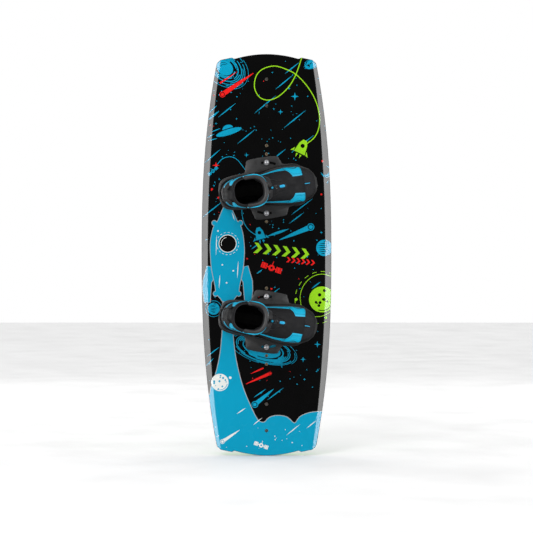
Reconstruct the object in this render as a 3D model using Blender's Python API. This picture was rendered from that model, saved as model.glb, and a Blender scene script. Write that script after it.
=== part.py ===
"""Wakeboard with two boots: a cored board with two fins, and a left and a right boot on its deck.

The board is drawn lying on its base in its own frame (X across, Y towards the nose, Z out of
the deck) and stood on its tail by one empty, so in the world +Z runs to the nose and the deck
faces -Y. The origin is the middle of the base's flat spot. Each boot is drawn in its own frame
(X towards the toe, Y across the foot, Z up from the deck) under an empty on its turning axis.
"""

import math

import bmesh
import bpy
import numpy as np
from mathutils import Vector

MM = 0.001
GAP = 0.3  # clearance between touching pieces, mm; every length below is in mm

# Board outline
HALF_LENGTH = 600.0
HALF_WIDTH = 195.4
CORNER_Y = 573.0
TIP_TAPER = 46.4  # how much the half width loses by CORNER_Y
TAPER_POWER = 2.45
TIP_RADIUS = 325.0
TIP_NOTCH_X = 97.0
TIP_EDGE = ((97.0, 585.5), (103.0, 590.0), (137.0, 583.0), (149.0, CORNER_Y))

# Board thickness, rocker and edges
THICKNESS = 28.0
TIP_THICKNESS = 14.0
FLAT_END = 101.0  # the base is flat between +-FLAT_END
RAMP_END = 294.0  # and a straight ramp from there to RAMP_END, under the boots
RAMP_SLOPE = 0.05
TIP_SLOPE = 0.25
CHANNEL = (98.0, 103.0, 123.0, 128.0)
CHANNEL_DEPTH = (1.0, 4.0)  # in the middle and at the tips
BEVEL_WIDTH = (20.0, 12.0)
DECK_DROP = 0.28  # share of the thickness that the deck's bevel takes
CHINE_RISE = 0.18
SKIN = 1.2
BASE_SKIN = 1.5
RAIL_WALL = 1.7
ROWS = (0.0, FLAT_END, RAMP_END, 345.0, 400.0, 455.0, 505.0, 555.0)

# Inserts, fins and their screws
INSERT_PITCH = 25.4
INSERT_STARTS = (100.0, 252.4)
INSERT_RADIUS = 4.5
INSERT_BORE = 3.0
INSERT_LENGTH = 14.0
FIN_SPAN = (385.0, 582.0)
FIN_DEPTH = 42.0
FIN_HALF_THICKNESS = 4.5
FIN_SCREW_YS = (448.3, 526.7)
SCREW_SIDES = 10
FIN_SCREW = (2.5, 5.0, 2.5, 11.0)  # shank radius, head radius, head height, reach into the fin

# Boots
BOOT_Y = 201.6
BOOT_YAW = 9.0  # degrees, toes turned out
MOUNT_RADIUS = 76.2
SLOT_HALF_WIDTH = 3.5
SLOT_ARC = (-3.0, 30.0)
PLATE = 8.0
SECTION_POINTS = 16
SECTION_POWER = 0.8
SHELL = 4.5
LINER_OUT = 4.9
LINER_IN = 8.2
TONGUE_IN = 12.0
TOP_W = 217.0
TOE_SHIFT = 5.0
TONGUE_HINGE = (12.0, 136.0)
LOCK_CENTRE = (20.0, 207.0)
LOCK_PITCH = 26.0
LOCK_SIZE = (22.0, 12.0, 11.0)
LACE_RADIUS = 1.5
LOWER_LACE_RADIUS = 1.1

# Sections across the foot and leg: sole or back point, instep or front point, half width
SECTIONS = (
    ((97, 22), (114, 88), 50),
    ((60, 20), (72, 104), 52),
    ((20, 20), (29, 125), 47),
    ((-25, 20), (9, 141), 42),
    ((-75, 20), (6, 149), 40),
    ((-122, 24), (4, 158), 41),
    ((-134, 62), (3, 168), 42),
    ((-132, 104), (2.5, 180), 43),
    ((-124, 146), (2, 192), 44),
    ((-116, 182), (2, 204), 45),
    ((-101, TOP_W), (2, TOP_W), 46),
)
TONGUE_TOP = ((-87, 246), (5, 246), 47)
TOE_SECTIONS = (
    ((147, 34), (145, 48), 16),
    ((140, 27), (136, 62), 30),
    ((122, 25), (124, 76), 40),
)

# Seams and the throat, as outlines seen from the side (towards the toe, up)
THROAT = ((-26, 280), (-26, 162), (8, 141.5), (60, 170), (60, 280))
TONGUE_REGION = (
    (-25.4, 218.4), (-25.4, 162.6), (8.3, 142.3), (60, 171), (60, 262), (-62, 262), (-62, 218.4),
)
HEEL_SEAM = ((-160, 107), (-89.5, 99.7), (-40.2, 56.5), (-15, 34.6), (-12, 0))
VAMP_SEAM = ((32, 150), (19, 133), (-38.4, 104.4), (-40.2, 56.5))
CUFF_SEAM = ((-92, 100), (-43, 148.5), (-45, 153), (-43, 195), (-64, 210), (-66, 280))

# Sole and base frame: station, half width, bottom, top
SOLE = (
    (-137, 14, 8.3, 34), (-130, 30, 8.3, 34), (-115, 40, 8.3, 34), (-85, 45, 8.3, 33),
    (-40, 46, 8.3, 29), (0, 50, 8.3, 26), (40, 56, 8.3, 25), (80, 58, 8.3, 26),
    (110, 54, 9.0, 37), (132, 43, 14, 46), (146, 26, 21, 48), (152, 10, 28, 44),
)
FRAME_OUTLINE = (
    (-143, 16), (-136, 36), (-118, 47), (-84, 52), (-58, 54), (-50, 76), (-38, 90),
    (38, 90), (50, 80), (60, 64), (92, 62), (112, 50), (117, 20),
)
WALL_HEIGHTS = ((-137, 38), (-71, 48), (-13, 34), (40, 20), (104, 13))
WALL_THICKNESS = 4.0

COLOURS = {
    "deck": ((0.01, 0.01, 0.012), 0.12, 0.0),
    "base": ((0.08, 0.75, 0.05), 0.15, 0.0),
    "core": ((0.8, 0.72, 0.45), 0.8, 0.0),
    "steel": ((0.6, 0.6, 0.62), 0.3, 1.0),
    "brass": ((0.7, 0.5, 0.25), 0.35, 1.0),
    "fin": ((0.85, 0.85, 0.85), 0.3, 0.0),
    "nylon": ((0.02, 0.02, 0.022), 0.5, 0.0),
    "rubber": ((0.03, 0.03, 0.03), 0.7, 0.0),
    "textile": ((0.02, 0.02, 0.025), 0.9, 0.0),
    "leather": ((0.03, 0.03, 0.03), 0.45, 0.0),
    "lace": ((0.015, 0.015, 0.015), 0.7, 0.0),
    "cyan": ((0.0, 0.5, 0.8), 0.5, 0.0),
}


# Scene helpers


def clear_scene():
    for obj in list(bpy.data.objects):
        bpy.data.objects.remove(obj)


def material(slot):
    found = bpy.data.materials.get(slot)
    if found:
        return found
    colour, roughness, metallic = COLOURS[slot]
    made = bpy.data.materials.new(slot)
    made.use_nodes = True
    shader = made.node_tree.nodes["Principled BSDF"]
    shader.inputs["Base Color"].default_value = (*colour, 1)
    shader.inputs["Roughness"].default_value = roughness
    shader.inputs["Metallic"].default_value = metallic
    return made


def empty(name, parent=None, location=(0, 0, 0), rotation=(0, 0, 0)):
    obj = bpy.data.objects.new(name, None)
    bpy.context.scene.collection.objects.link(obj)
    obj.parent = parent
    obj.location = Vector(location) * MM
    obj.rotation_euler = rotation
    return obj


def solid(name, points, faces, parent, slot=None):
    """One closed mesh object from points in mm, with its faces turned outward."""
    mesh = bpy.data.meshes.new(name)
    mesh.from_pydata([Vector(p) * MM for p in points], [], faces)
    bm = bmesh.new()
    bm.from_mesh(mesh)
    bmesh.ops.recalc_face_normals(bm, faces=bm.faces)
    bm.to_mesh(mesh)
    bm.free()
    mesh.shade_smooth()
    mesh.set_sharp_from_angle(angle=math.radians(30))
    obj = bpy.data.objects.new(name, mesh)
    bpy.context.scene.collection.objects.link(obj)
    obj.parent = parent
    if slot:
        mesh.materials.append(material(slot))
    else:
        obj.hide_render = True
        obj.display_type = "WIRE"
    return obj


def boolean(obj, other, operation="DIFFERENCE"):
    modifier = obj.modifiers.new(other.name, "BOOLEAN")
    modifier.operation = operation
    modifier.object = other
    modifier.solver = "EXACT"


def loft(name, rings, parent, slot=None):
    """A skin over closed rings of equal length, with a flat cap at each end."""
    count = len(rings[0])
    points = [p for ring in rings for p in ring]
    faces = [list(range(count)), [len(points) - count + k for k in range(count)]]
    for i in range(len(rings) - 1):
        for k in range(count):
            after = (k + 1) % count
            a, b, c, d = (i * count + k, i * count + after, (i + 1) * count + after, (i + 1) * count + k)
            faces += [[a, b, c], [a, c, d]]  # one diagonal everywhere, so that nested skins stay apart
    return solid(name, points, faces, parent, slot)


def prism(name, outline, half_width, parent, slot=None):
    """An outline in (x, z), extruded across Y."""
    rings = [[(x, y, z) for x, z in outline] for y in (-half_width, half_width)]
    return loft(name, rings, parent, slot)


def rod(name, stations, parent, slot=None, sides=SCREW_SIDES):
    """A turned piece on Z: stations are (radius, z)."""
    angles = [2 * math.pi * k / sides for k in range(sides)]
    rings = [[(r * math.cos(t), r * math.sin(t), z) for t in angles] for r, z in stations]
    return loft(name, rings, parent, slot)


def tube(name, outer, inner, low, high, parent, slot=None, sides=SCREW_SIDES):
    """A straight pipe on Z."""
    angles = [2 * math.pi * k / sides for k in range(sides)]
    corners = ((outer, low), (outer, high), (inner, high), (inner, low))
    points = [(r * math.cos(t), r * math.sin(t), z) for r, z in corners for t in angles]
    faces = []
    for ring in range(4):
        above = (ring + 1) % 4
        for k in range(sides):
            after = (k + 1) % sides
            faces.append([ring * sides + k, ring * sides + after, above * sides + after, above * sides + k])
    return solid(name, points, faces, parent, slot)


def closed_sheet(name, lower, upper, parent, slot=None):
    """A closed solid between two grids of points with the same rows and columns."""
    rows, columns = len(lower), len(lower[0])
    size = rows * columns
    points = [p for row in lower for p in row] + [p for row in upper for p in row]
    faces = []
    for i in range(rows - 1):
        for j in range(columns - 1):
            a, b = i * columns + j, (i + 1) * columns + j
            faces.append([a, a + 1, b + 1, b])
            faces.append([size + a, size + b, size + b + 1, size + a + 1])
    rim = [j for j in range(columns)]
    rim += [i * columns + columns - 1 for i in range(1, rows)]
    rim += [(rows - 1) * columns + j for j in range(columns - 2, -1, -1)]
    rim += [i * columns for i in range(rows - 2, 0, -1)]
    for k, a in enumerate(rim):
        b = rim[(k + 1) % len(rim)]
        faces.append([a, b, size + b, size + a])
    return solid(name, points, faces, parent, slot)


# Board surfaces


def half_width(y):
    return HALF_WIDTH - TIP_TAPER * (abs(y) / CORNER_Y) ** TAPER_POWER


def tip_y(x):
    if abs(x) <= TIP_NOTCH_X:
        return HALF_LENGTH - x * x / (2 * TIP_RADIUS)
    return float(np.interp(abs(x), *zip(*TIP_EDGE)))


def towards_tip(y, ends):
    return float(np.interp(abs(y), (RAMP_END, HALF_LENGTH), ends))


def rocker(y):
    """Height of the base's centre line: flat, a straight ramp, then a growing kick."""
    y = abs(y)
    ramp = RAMP_SLOPE * max(0.0, y - FLAT_END)
    kick = max(0.0, y - RAMP_END)
    return ramp + (TIP_SLOPE - RAMP_SLOPE) * kick * kick / (2 * (HALF_LENGTH - RAMP_END))


def rocker_slope(y):
    if abs(y) <= FLAT_END:
        return 0.0
    return math.copysign(towards_tip(y, (RAMP_SLOPE, TIP_SLOPE)), y)


def thickness(y):
    share = max(0.0, abs(y) - RAMP_END) / (HALF_LENGTH - RAMP_END)
    return THICKNESS - (THICKNESS - TIP_THICKNESS) * share**1.5


def bevel_share(x, y):
    """0 inside the bevelled edge, 1 at the outline."""
    edge = half_width(min(abs(y), CORNER_Y))
    width = towards_tip(y, BEVEL_WIDTH)
    return min(1.0, max(0.0, (abs(x) - edge + width) / width))


def deck_z(x, y):
    return rocker(y) + thickness(y) * (1 - DECK_DROP * bevel_share(x, y))


def base_z(x, y):
    channel = np.interp(abs(x), CHANNEL, (0, 1, 1, 0)) * towards_tip(y, CHANNEL_DEPTH)
    return rocker(y) + float(channel) + CHINE_RISE * thickness(y) * bevel_share(x, y)


def board_grid(height, columns, inset=0.0, lift=0.0):
    """Rows of points over the outline, at height(x, y) + lift, with the edge drawn in by inset."""
    sides = [-1] * len(ROWS) + [1] * (len(ROWS) - 1)
    rows = [s * y for s, y in zip(sides, list(ROWS[::-1]) + list(ROWS[1:]))]
    grid = []
    for y in [None, *rows, None]:
        line = []
        sign = -1 if not grid else 1
        row_y = y if y is not None else sign * CORNER_Y
        edge = half_width(row_y)
        inner = edge - towards_tip(row_y, BEVEL_WIDTH)
        half = [*columns, inner, edge]
        for x in [-v for v in half[:0:-1]] + half:
            at_y = row_y if y is not None else sign * (tip_y(x) - inset)
            if abs(x) == edge:
                x -= math.copysign(inset, x)
            line.append((x, at_y, height(x, at_y) + lift))
        grid.append(line)
    return grid


def on_deck(name, y, board):
    """An empty on the deck's centre line, its Z along the deck's normal."""
    slope = (deck_z(0, y + 1) - deck_z(0, y - 1)) / 2
    return empty(name, board, (0, y, deck_z(0, y)), (math.atan(slope), 0, 0))


def insert_places():
    steps = [start + INSERT_PITCH * i for start in INSERT_STARTS for i in range(4)]
    return [-y for y in steps[::-1]] + steps


# Board pieces


def build_board(board):
    ribbed = (0.0, 50.0, *CHANNEL)
    skin = closed_sheet(
        "top_skin", board_grid(deck_z, ribbed, lift=-SKIN), board_grid(deck_z, ribbed), board, "deck"
    )
    under_skin = -SKIN - GAP
    tub = closed_sheet(
        "base_skin",
        board_grid(base_z, ribbed),
        board_grid(deck_z, ribbed, lift=under_skin),
        board,
        "base",
    )
    hollow = closed_sheet(
        "base_hollow",
        board_grid(base_z, ribbed, RAIL_WALL, BASE_SKIN),
        board_grid(deck_z, ribbed, RAIL_WALL, 20),
        board,
    )
    boolean(tub, hollow)
    core = closed_sheet(
        "foam_core",
        board_grid(base_z, ribbed, RAIL_WALL + GAP, BASE_SKIN + GAP),
        board_grid(deck_z, ribbed, RAIL_WALL + GAP, under_skin),
        board,
        "core",
    )
    for number, y in enumerate(insert_places(), 1):
        place = on_deck(f"insert_place_{number}", y, board)
        tube(f"insert_{number:02d}", INSERT_RADIUS, INSERT_BORE, -INSERT_LENGTH, -0.05, place, "brass")
        pocket = rod(
            f"insert_pocket_{number}",
            ((INSERT_RADIUS + 0.4, -INSERT_LENGTH - 0.5), (INSERT_RADIUS + 0.4, 5)),
            place,
        )
        boolean(skin, pocket)
        boolean(core, pocket)
    return skin, tub, core


def fin_depth(share):
    """Depth of the fin along its length, 0 at the inner end and 1 at the tip end."""
    return FIN_DEPTH * math.sin(math.pi * share**1.25) ** 0.6 if 0 < share < 1 else 0.0


def build_fin(name, sign, board, skins):
    rings = []
    for share in (0.0, 0.08, 0.2, 0.35, 0.5, 0.65, 0.8, 0.92, 1.0):
        y = sign * (FIN_SPAN[0] + share * (FIN_SPAN[1] - FIN_SPAN[0]))
        root = base_z(0, y) - GAP
        depth = max(3.0, fin_depth(share))
        half = FIN_HALF_THICKNESS * min(1.0, 0.35 + 4 * min(share, 1 - share))
        edge = 0.45 * half
        rings.append([(-half, y, root), (half, y, root), (edge, y, root - depth), (-edge, y, root - depth)])
    fin = loft(name, rings, board, "fin")
    shank, head, head_height, reach = FIN_SCREW
    for number, at in enumerate(FIN_SCREW_YS, 1):
        y = sign * at
        place = on_deck(f"{name}_screw_place_{number}", y, board)
        through = deck_z(0, y) - base_z(0, y) + reach
        side = "nose" if sign > 0 else "tail"
        rod(
            f"{side}_fin_screw_{number}",
            ((shank, -through), (shank, -head_height - 0.5), (head, -head_height - 0.5), (head, -0.5)),
            place,
            "steel",
        )
        hole = rod(
            f"{name}_screw_hole_{number}",
            ((shank + 0.4, -through - 0.5), (shank + 0.4, -head_height - 0.9),
             (head + 0.4, -head_height - 0.9), (head + 0.4, 5)),
            place,
        )
        for piece in (*skins, fin):
            boolean(piece, hole)


# Boot surfaces


def shifted(x):
    """Sideways shift of the foot's centre line, towards the big toe."""
    share = min(1.0, max(0.0, (x - 20) / 110))
    return -TOE_SHIFT * share * share * (3 - 2 * share)


def skin_point(section, angle, inset, side):
    """A point of one section's ring; angle 0 is the instep or front point."""
    (back_x, back_z), (front_x, front_z), half = section
    along = np.array((front_x - back_x, front_z - back_z), float)
    centre = np.array((front_x + back_x, front_z + back_z)) / 2
    reach = np.linalg.norm(along) / 2 - inset
    along = along / np.linalg.norm(along)
    c, s = math.cos(angle), math.sin(angle)
    c = math.copysign(abs(c) ** SECTION_POWER, c)
    s = math.copysign(abs(s) ** SECTION_POWER, s)
    x, z = centre + along * reach * c
    return (float(x), side * ((half - inset) * s + shifted(x)), float(z))


def ring(section, inset, side):
    angles = [2 * math.pi * (k + 0.5) / SECTION_POINTS for k in range(SECTION_POINTS)]
    return [skin_point(section, t, inset, side) for t in angles]


def raised(section, rise):
    """The same section moved up along the leg."""
    (back_x, back_z), (front_x, front_z), half = section
    return ((back_x, back_z + rise), (front_x, front_z + rise), half)


def pushed(section, step):
    """The same section moved towards the toe."""
    (back_x, back_z), (front_x, front_z), half = section
    return ((back_x + step, back_z), (front_x + step, front_z), half)


def upper_rings(inset, side, longer=False):
    rings = [ring(s, inset, side) for s in SECTIONS]
    if longer:
        rings.insert(0, ring(pushed(SECTIONS[0], 12), inset, side))
        rings.append(ring(raised(SECTIONS[-1], 12), inset, side))
    return rings


def liner_rings(inset, side, longer=False):
    """The sock's rings; its toe is drawn at LINER_OUT and is drawn in by the rest of inset."""
    extra = inset - LINER_OUT
    toe = [pushed(s, -extra if i == 0 else 0) for i, s in enumerate(TOE_SECTIONS)]
    rings = [ring(s, extra, side) for s in toe]
    rings += [ring(s, inset, side) for s in SECTIONS]
    if longer:
        rings.append(ring(raised(SECTIONS[-1], 12), inset, side))
    return rings


def tongue_rings(inset, side, longer=False):
    rings = [ring(s, inset, side) for s in (*SECTIONS[2:], TONGUE_TOP)]
    if longer:
        rings.append(ring(raised(TONGUE_TOP, 12), inset, side))
    return rings


def far_side(seam, corners, step=0.0):
    """A closed outline from a seam moved by step to its left, and the corners that close it."""
    points = [Vector(p) for p in seam]
    moved = []
    for i, point in enumerate(points):
        ways = [(b - a).normalized() for a, b in zip(points[max(0, i - 1):], points[max(1, i):i + 2])]
        normals = [Vector((-w.y, w.x)) for w in ways]
        mean = sum(normals, Vector((0, 0))).normalized()
        moved.append(point + mean * step / mean.dot(normals[0]))
    return [(p.x, p.y) for p in moved] + list(corners)


# Boot pieces


def build_shell(name, rings_of, outer, inner, side, foot, slot):
    piece = loft(name, rings_of(outer, side), foot, slot)
    boolean(piece, loft(f"{name}_hollow", rings_of(inner, side, longer=True), foot))
    return piece


def build_upper(prefix, side, foot):
    """Vamp, heel counter, quarter and cuff: one shell, cut along its seams."""
    wide = 130
    throat = prism(f"{prefix}_throat", THROAT, wide, foot)
    half = GAP / 2
    behind_heel = far_side(HEEL_SEAM, ((-160, 0),), -half)
    above_heel = far_side(HEEL_SEAM, ((60, 0), (200, 0), (200, 300), (-160, 300)), half)
    before_vamp = far_side(VAMP_SEAM, ((-40.2, -10), (200, -10), (200, 150)), half)
    behind_vamp = far_side(VAMP_SEAM, ((-160, 56.5), (-160, 300), (32, 300)), -half)
    behind_cuff = far_side(CUFF_SEAM, ((-160, 280), (-160, 60)), half)
    before_cuff = far_side(CUFF_SEAM, ((90, 280), (90, 40), (-60, 40)), -half)
    cuts = {
        "heel_counter": ("leather", (behind_heel,)),
        "vamp": ("textile", (above_heel, before_vamp)),
        "quarter": ("leather", (above_heel, behind_vamp, before_cuff)),
        "cuff": ("textile", (above_heel, behind_vamp, behind_cuff)),
    }
    for piece_name, (slot, regions) in cuts.items():
        piece = build_shell(f"{prefix}_{piece_name}", upper_rings, 0, SHELL, side, foot, slot)
        boolean(piece, throat)
        for number, region in enumerate(regions):
            boolean(piece, prism(f"{piece.name}_region_{number}", region, wide, foot), "INTERSECT")
        if piece_name == "quarter":
            add_lace_loops(piece, side, foot)
    liner = build_shell(f"{prefix}_liner", liner_rings, LINER_OUT, LINER_IN, side, foot, "textile")
    boolean(liner, throat)


LOOP_ANGLE = math.radians(70)
LOOP_STAND = 2.5  # how far a loop's bore stands off the leather
LOOP_SPANS = ((9.35, 8.3), (7.95, 6.9))  # each loop's top and bottom, as places along SECTIONS


def section_at(place):
    """A section between two of SECTIONS."""
    i = min(int(place), len(SECTIONS) - 2)
    f = place - i
    (b0, f0, h0), (b1, f1, h1) = SECTIONS[i], SECTIONS[i + 1]
    back, front = (tuple((1 - f) * m + f * n for m, n in zip(p, q)) for p, q in ((b0, b1), (f0, f1)))
    return (back, front, (1 - f) * h0 + f * h1)


def over_skin(place, degrees, stand):
    """A point that stands off the upper, at a place along SECTIONS and an angle from the front line."""
    return Vector(skin_point(section_at(place), math.radians(degrees), -stand, 1))


def loop_line(span, hand, side):
    """The two ends of a lace loop's bore, just outside the quarter's front edge."""
    return [Vector(skin_point(section_at(p), hand * LOOP_ANGLE, -LOOP_STAND, side)) for p in span]


def add_lace_loops(quarter, side, foot):
    for hand in (-1, 1):
        for number, span in enumerate(LOOP_SPANS):
            top, bottom = loop_line(span, hand, side)
            length = (top - bottom).length
            name = f"{quarter.name}_loop_{number}_{'a' if hand < 0 else 'b'}"
            loop = tube(name, 4.2, 2.8, 0, length, foot, sides=8)
            loop.location = bottom * MM
            loop.rotation_mode = "QUATERNION"
            loop.rotation_quaternion = (top - bottom).to_track_quat("Z", "Y")
            boolean(quarter, loop, "UNION")


def build_tongue(prefix, side, foot):
    tongue = build_shell(f"{prefix}_tongue", tongue_rings, 0, TONGUE_IN, side, foot, "leather")
    boolean(tongue, prism(f"{tongue.name}_region", TONGUE_REGION, 130, foot), "INTERSECT")


def build_footbed(prefix, side, foot):
    footbed = loft(f"{prefix}_footbed", liner_rings(LINER_IN + 0.5, side), foot, "rubber")
    slab = prism(f"{prefix}_footbed_slab", ((-200, 26), (200, 26), (200, 32.5), (-200, 32.5)), 90, foot)
    boolean(footbed, slab, "INTERSECT")


def sole_half(x):
    return float(np.interp(x, [s[0] for s in SOLE], [s[1] for s in SOLE]))


def build_sole(prefix, side, foot):
    rings = []
    for x, half, bottom, top in SOLE:
        shift = side * shifted(x)
        profile = ((-half, bottom + 3), (3 - half, bottom), (half - 3, bottom), (half, bottom + 3),
                   (half, top), (-half, top))
        rings.append([(x, v + shift, w) for v, w in profile])
    sole = loft(f"{prefix}_sole", rings, foot, "rubber")
    boolean(sole, loft(f"{prefix}_upper_space", upper_rings(-GAP - 0.2, side), foot))
    boolean(sole, loft(f"{prefix}_liner_space", liner_rings(LINER_OUT - GAP - 0.2, side), foot))


def arc_slot(name, start, end, turn, foot):
    """A cutter for one arc slot round the boot's turning axis; angles run from +Y towards +X."""
    angles = np.radians(np.linspace(start, end, 9) * turn)
    half = SLOT_HALF_WIDTH
    outer = [((MOUNT_RADIUS + half) * math.sin(t), (MOUNT_RADIUS + half) * math.cos(t)) for t in angles]
    inner = [((MOUNT_RADIUS - half) * math.sin(t), (MOUNT_RADIUS - half) * math.cos(t)) for t in angles]
    outline = outer + inner[::-1]
    rings = [[(x, y, z) for x, y in outline] for z in (-5, 20)]
    return loft(name, rings, foot)


def build_base_frame(prefix, side, foot):
    edge = [(x, half) for x, half in FRAME_OUTLINE]
    outline = edge + [(x, -half) for x, half in edge[::-1]]
    rings = [[(x, v + side * shifted(x), z) for x, v in outline] for z in (GAP, PLATE)]
    frame = loft(f"{prefix}_base_frame", rings, foot, "nylon")
    path = [(x, sole_half(x)) for x in (104, 80, 40, 0, -40, -85, -115, -130, -137)]
    path += [(x, -half) for x, half in path[::-1]]
    wall = []
    for i, (x, v) in enumerate(path):
        before, after = Vector(path[max(0, i - 1)]), Vector(path[min(len(path) - 1, i + 1)])
        tangent = (after - before).normalized()
        normal = Vector((tangent.y, -tangent.x))
        height = float(np.interp(x, *zip(*WALL_HEIGHTS)))
        shift = side * shifted(x)
        inner = Vector((x, v)) + normal * 0.6
        outer = inner + normal * WALL_THICKNESS
        lip = inner + normal * WALL_THICKNESS * 0.6
        wall.append([
            (inner.x, inner.y + shift, 3), (outer.x, outer.y + shift, 3),
            (lip.x, lip.y + shift, height), (inner.x, inner.y + shift, height),
        ])
    boolean(frame, loft(f"{prefix}_frame_wall", wall, foot), "UNION")
    boolean(frame, sole_space(prefix, side, foot))
    for turn, label in ((1, "a"), (-1, "b")):
        slot = arc_slot(f"{prefix}_slot_{label}", *SLOT_ARC, side, foot)
        if turn < 0:
            slot.rotation_euler = (0, 0, math.pi)
        boolean(frame, slot)


def sole_space(prefix, side, foot):
    """The sole's own outline, a gap larger, that the frame stays clear of above its plate."""
    rings = []
    for x, half, bottom, _ in SOLE:
        shift = side * shifted(x)
        grown = half + 0.4
        low = max(PLATE, bottom - 0.4)
        rings.append([(x, v + shift, w) for v, w in ((-grown, low), (grown, low), (grown, 90), (-grown, 90))])
    return loft(f"{prefix}_sole_space", rings, foot)


def build_mount_screws(prefix, place):
    for label, y in (("inner", -MOUNT_RADIUS), ("outer", MOUNT_RADIUS)):
        at = empty(f"{prefix}_{label}_screw_place", place, (0, y, 0))
        head = PLATE + 2 * GAP
        rod(
            f"{prefix}_{label}_mount_screw",
            ((2.6, -12), (2.6, head), (8, head), (8, head + 2), (5.5, head + 2), (5.5, head + 5)),
            at,
            "steel",
        )


def build_heel_loop(prefix, side, foot):
    path = ((-100, 15.5), (-126, 15.5), (-135, 13), (-140, 7))
    outer = [*path, *((x, -v) for x, v in path[::-1])]
    band = 2.2
    inner = [(x + (0 if x == -100 else band), v - math.copysign(band, v)) for x, v in outer]
    rings = []
    for (x0, v0), (x1, v1) in zip(outer, inner):
        rings.append([(x0, side * v0, 184), (x0, side * v0, 208), (x1, side * v1, 208), (x1, side * v1, 184)])
    loop = loft(f"{prefix}_heel_loop", rings, foot, "textile")
    boolean(loop, loft(f"{prefix}_heel_loop_space", upper_rings(-GAP, side), foot))


def lock_point(along, across, up):
    """A point in the lace lock's own directions, from its centre, in the boot's frame."""
    c, s = math.cos(math.radians(LOCK_PITCH)), math.sin(math.radians(LOCK_PITCH))
    return (LOCK_CENTRE[0] + along * c - up * s, across, LOCK_CENTRE[1] + along * s + up * c)


def lock_frame(name, parent, along=0.0, up=0.0):
    return empty(name, parent, lock_point(along, 0, up), (0, -math.radians(LOCK_PITCH), 0))


def build_lock(prefix, foot):
    lock = lock_frame(f"{prefix}_lock_axis", foot)
    length, width, height = LOCK_SIZE
    rings = []
    for x, share in ((-length / 2, 0.8), (2 - length / 2, 1), (length / 2 - 2, 1), (length / 2, 0.8)):
        a, b = width / 2 * share, height / 2 * share
        profile = ((a, 0.5 * b), (0.7 * a, b), (-0.7 * a, b), (-a, 0.5 * b),
                   (-a, -0.5 * b), (-0.7 * a, -b), (0.7 * a, -b), (a, -0.5 * b))
        rings.append([(x, v, w) for v, w in profile])
    body = loft(f"{prefix}_lace_lock", rings, lock, "rubber")
    passage = ((-20, -2.1), (20, -2.1), (20, 2.1), (-20, 2.1))
    boolean(body, prism(f"{prefix}_lock_passage", passage, 4.2, lock))
    boolean(body, rod(f"{prefix}_button_pocket", ((3.4, 2.7), (3.4, 12)), lock))
    rod(f"{prefix}_lock_button", ((3.0, 4.8), (3.0, 7.2), (2.4, 7.8)), lock, "cyan")
    pull = lock_frame(f"{prefix}_pull_axis", foot, 22.3)
    turned = empty(f"{prefix}_pull_turn", pull, rotation=(0, math.pi / 2, 0))
    rod(f"{prefix}_lace_pull", ((3.6, 0), (4.1, 2), (3.6, 13), (2.2, 15)), turned, "cyan")


def smooth_route(knots, count):
    """Evenly spaced points on a centripetal curve through the knots."""
    points = [Vector(k) for k in knots]
    points = [2 * points[0] - points[1], *points, 2 * points[-1] - points[-2]]
    fine = []
    for p0, p1, p2, p3 in zip(points, points[1:], points[2:], points[3:]):
        for t in np.linspace(0, 1, 24, endpoint=False):
            fine.append(
                0.5 * (2 * p1 + (p2 - p0) * t + (2 * p0 - 5 * p1 + 4 * p2 - p3) * t * t
                       + (3 * p1 - p0 - 3 * p2 + p3) * t * t * t)
            )
    fine.append(points[-2])
    steps = [0.0]
    for a, b in zip(fine, fine[1:]):
        steps.append(steps[-1] + (b - a).length)
    wanted = np.linspace(0, steps[-1], count)
    return [Vector([float(np.interp(s, steps, [p[k] for p in fine])) for k in range(3)]) for s in wanted]


def lower_lace_knots():
    """Half of the instep's lace: out of the vamp and up into a free loop."""
    spots = ((2.6, 26, 2.1), (2.3, 22, 2.4))
    loop = ((37, 15, 137), (48, 12, 149), (55, 7, 158), (57, 0, 160))
    return [over_skin(*spot) for spot in spots] + [Vector(k) for k in loop]


def lace_knots():
    """Half of the lace, from its pull through the lock to the middle of the lower crossing."""
    upper, lower = (loop_line(span, 1, 1) for span in LOOP_SPANS)
    knots = [lock_point(x, 1.95, 0) for x in (22, 8, -4, -13)]
    above = ((9.1, 18, 3.4), (9.2, 36, 3.4), (9.5, 51, 4.2), (9.85, 64, 4.4))
    below = ((6.4, 63, 4.2), (6.35, 50, 3.6), (6.5, 34, 3.4), (6.6, 17, 3.2), (6.65, 0, 3.2))
    knots += [over_skin(*spot) for spot in above]
    for top, bottom in (upper, lower):
        lead = (top - bottom).normalized() * 3
        knots += [top + lead, (top + bottom) / 2, bottom - lead]
    knots += [over_skin(*spot) for spot in below]
    return [Vector((k[0], k[1], k[2])) for k in knots]


def build_cord(name, half, radius, count, parent):
    """A cord through half of its knots and their mirror images across the boot."""
    other = [Vector((k.x, -k.y, k.z)) for k in half[-2::-1]]
    route = smooth_route([*half, *other], count)
    curve = bpy.data.curves.new(name, "CURVE")
    curve.dimensions = "3D"
    curve.bevel_depth = radius * MM
    curve.bevel_resolution = 1
    curve.use_fill_caps = True
    spline = curve.splines.new("POLY")
    spline.points.add(len(route) - 1)
    for point, at in zip(spline.points, route):
        point.co = (*(at * MM), 1)
    curve.materials.append(material("lace"))
    cord = bpy.data.objects.new(name, curve)
    bpy.context.scene.collection.objects.link(cord)
    cord.parent = parent


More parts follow.
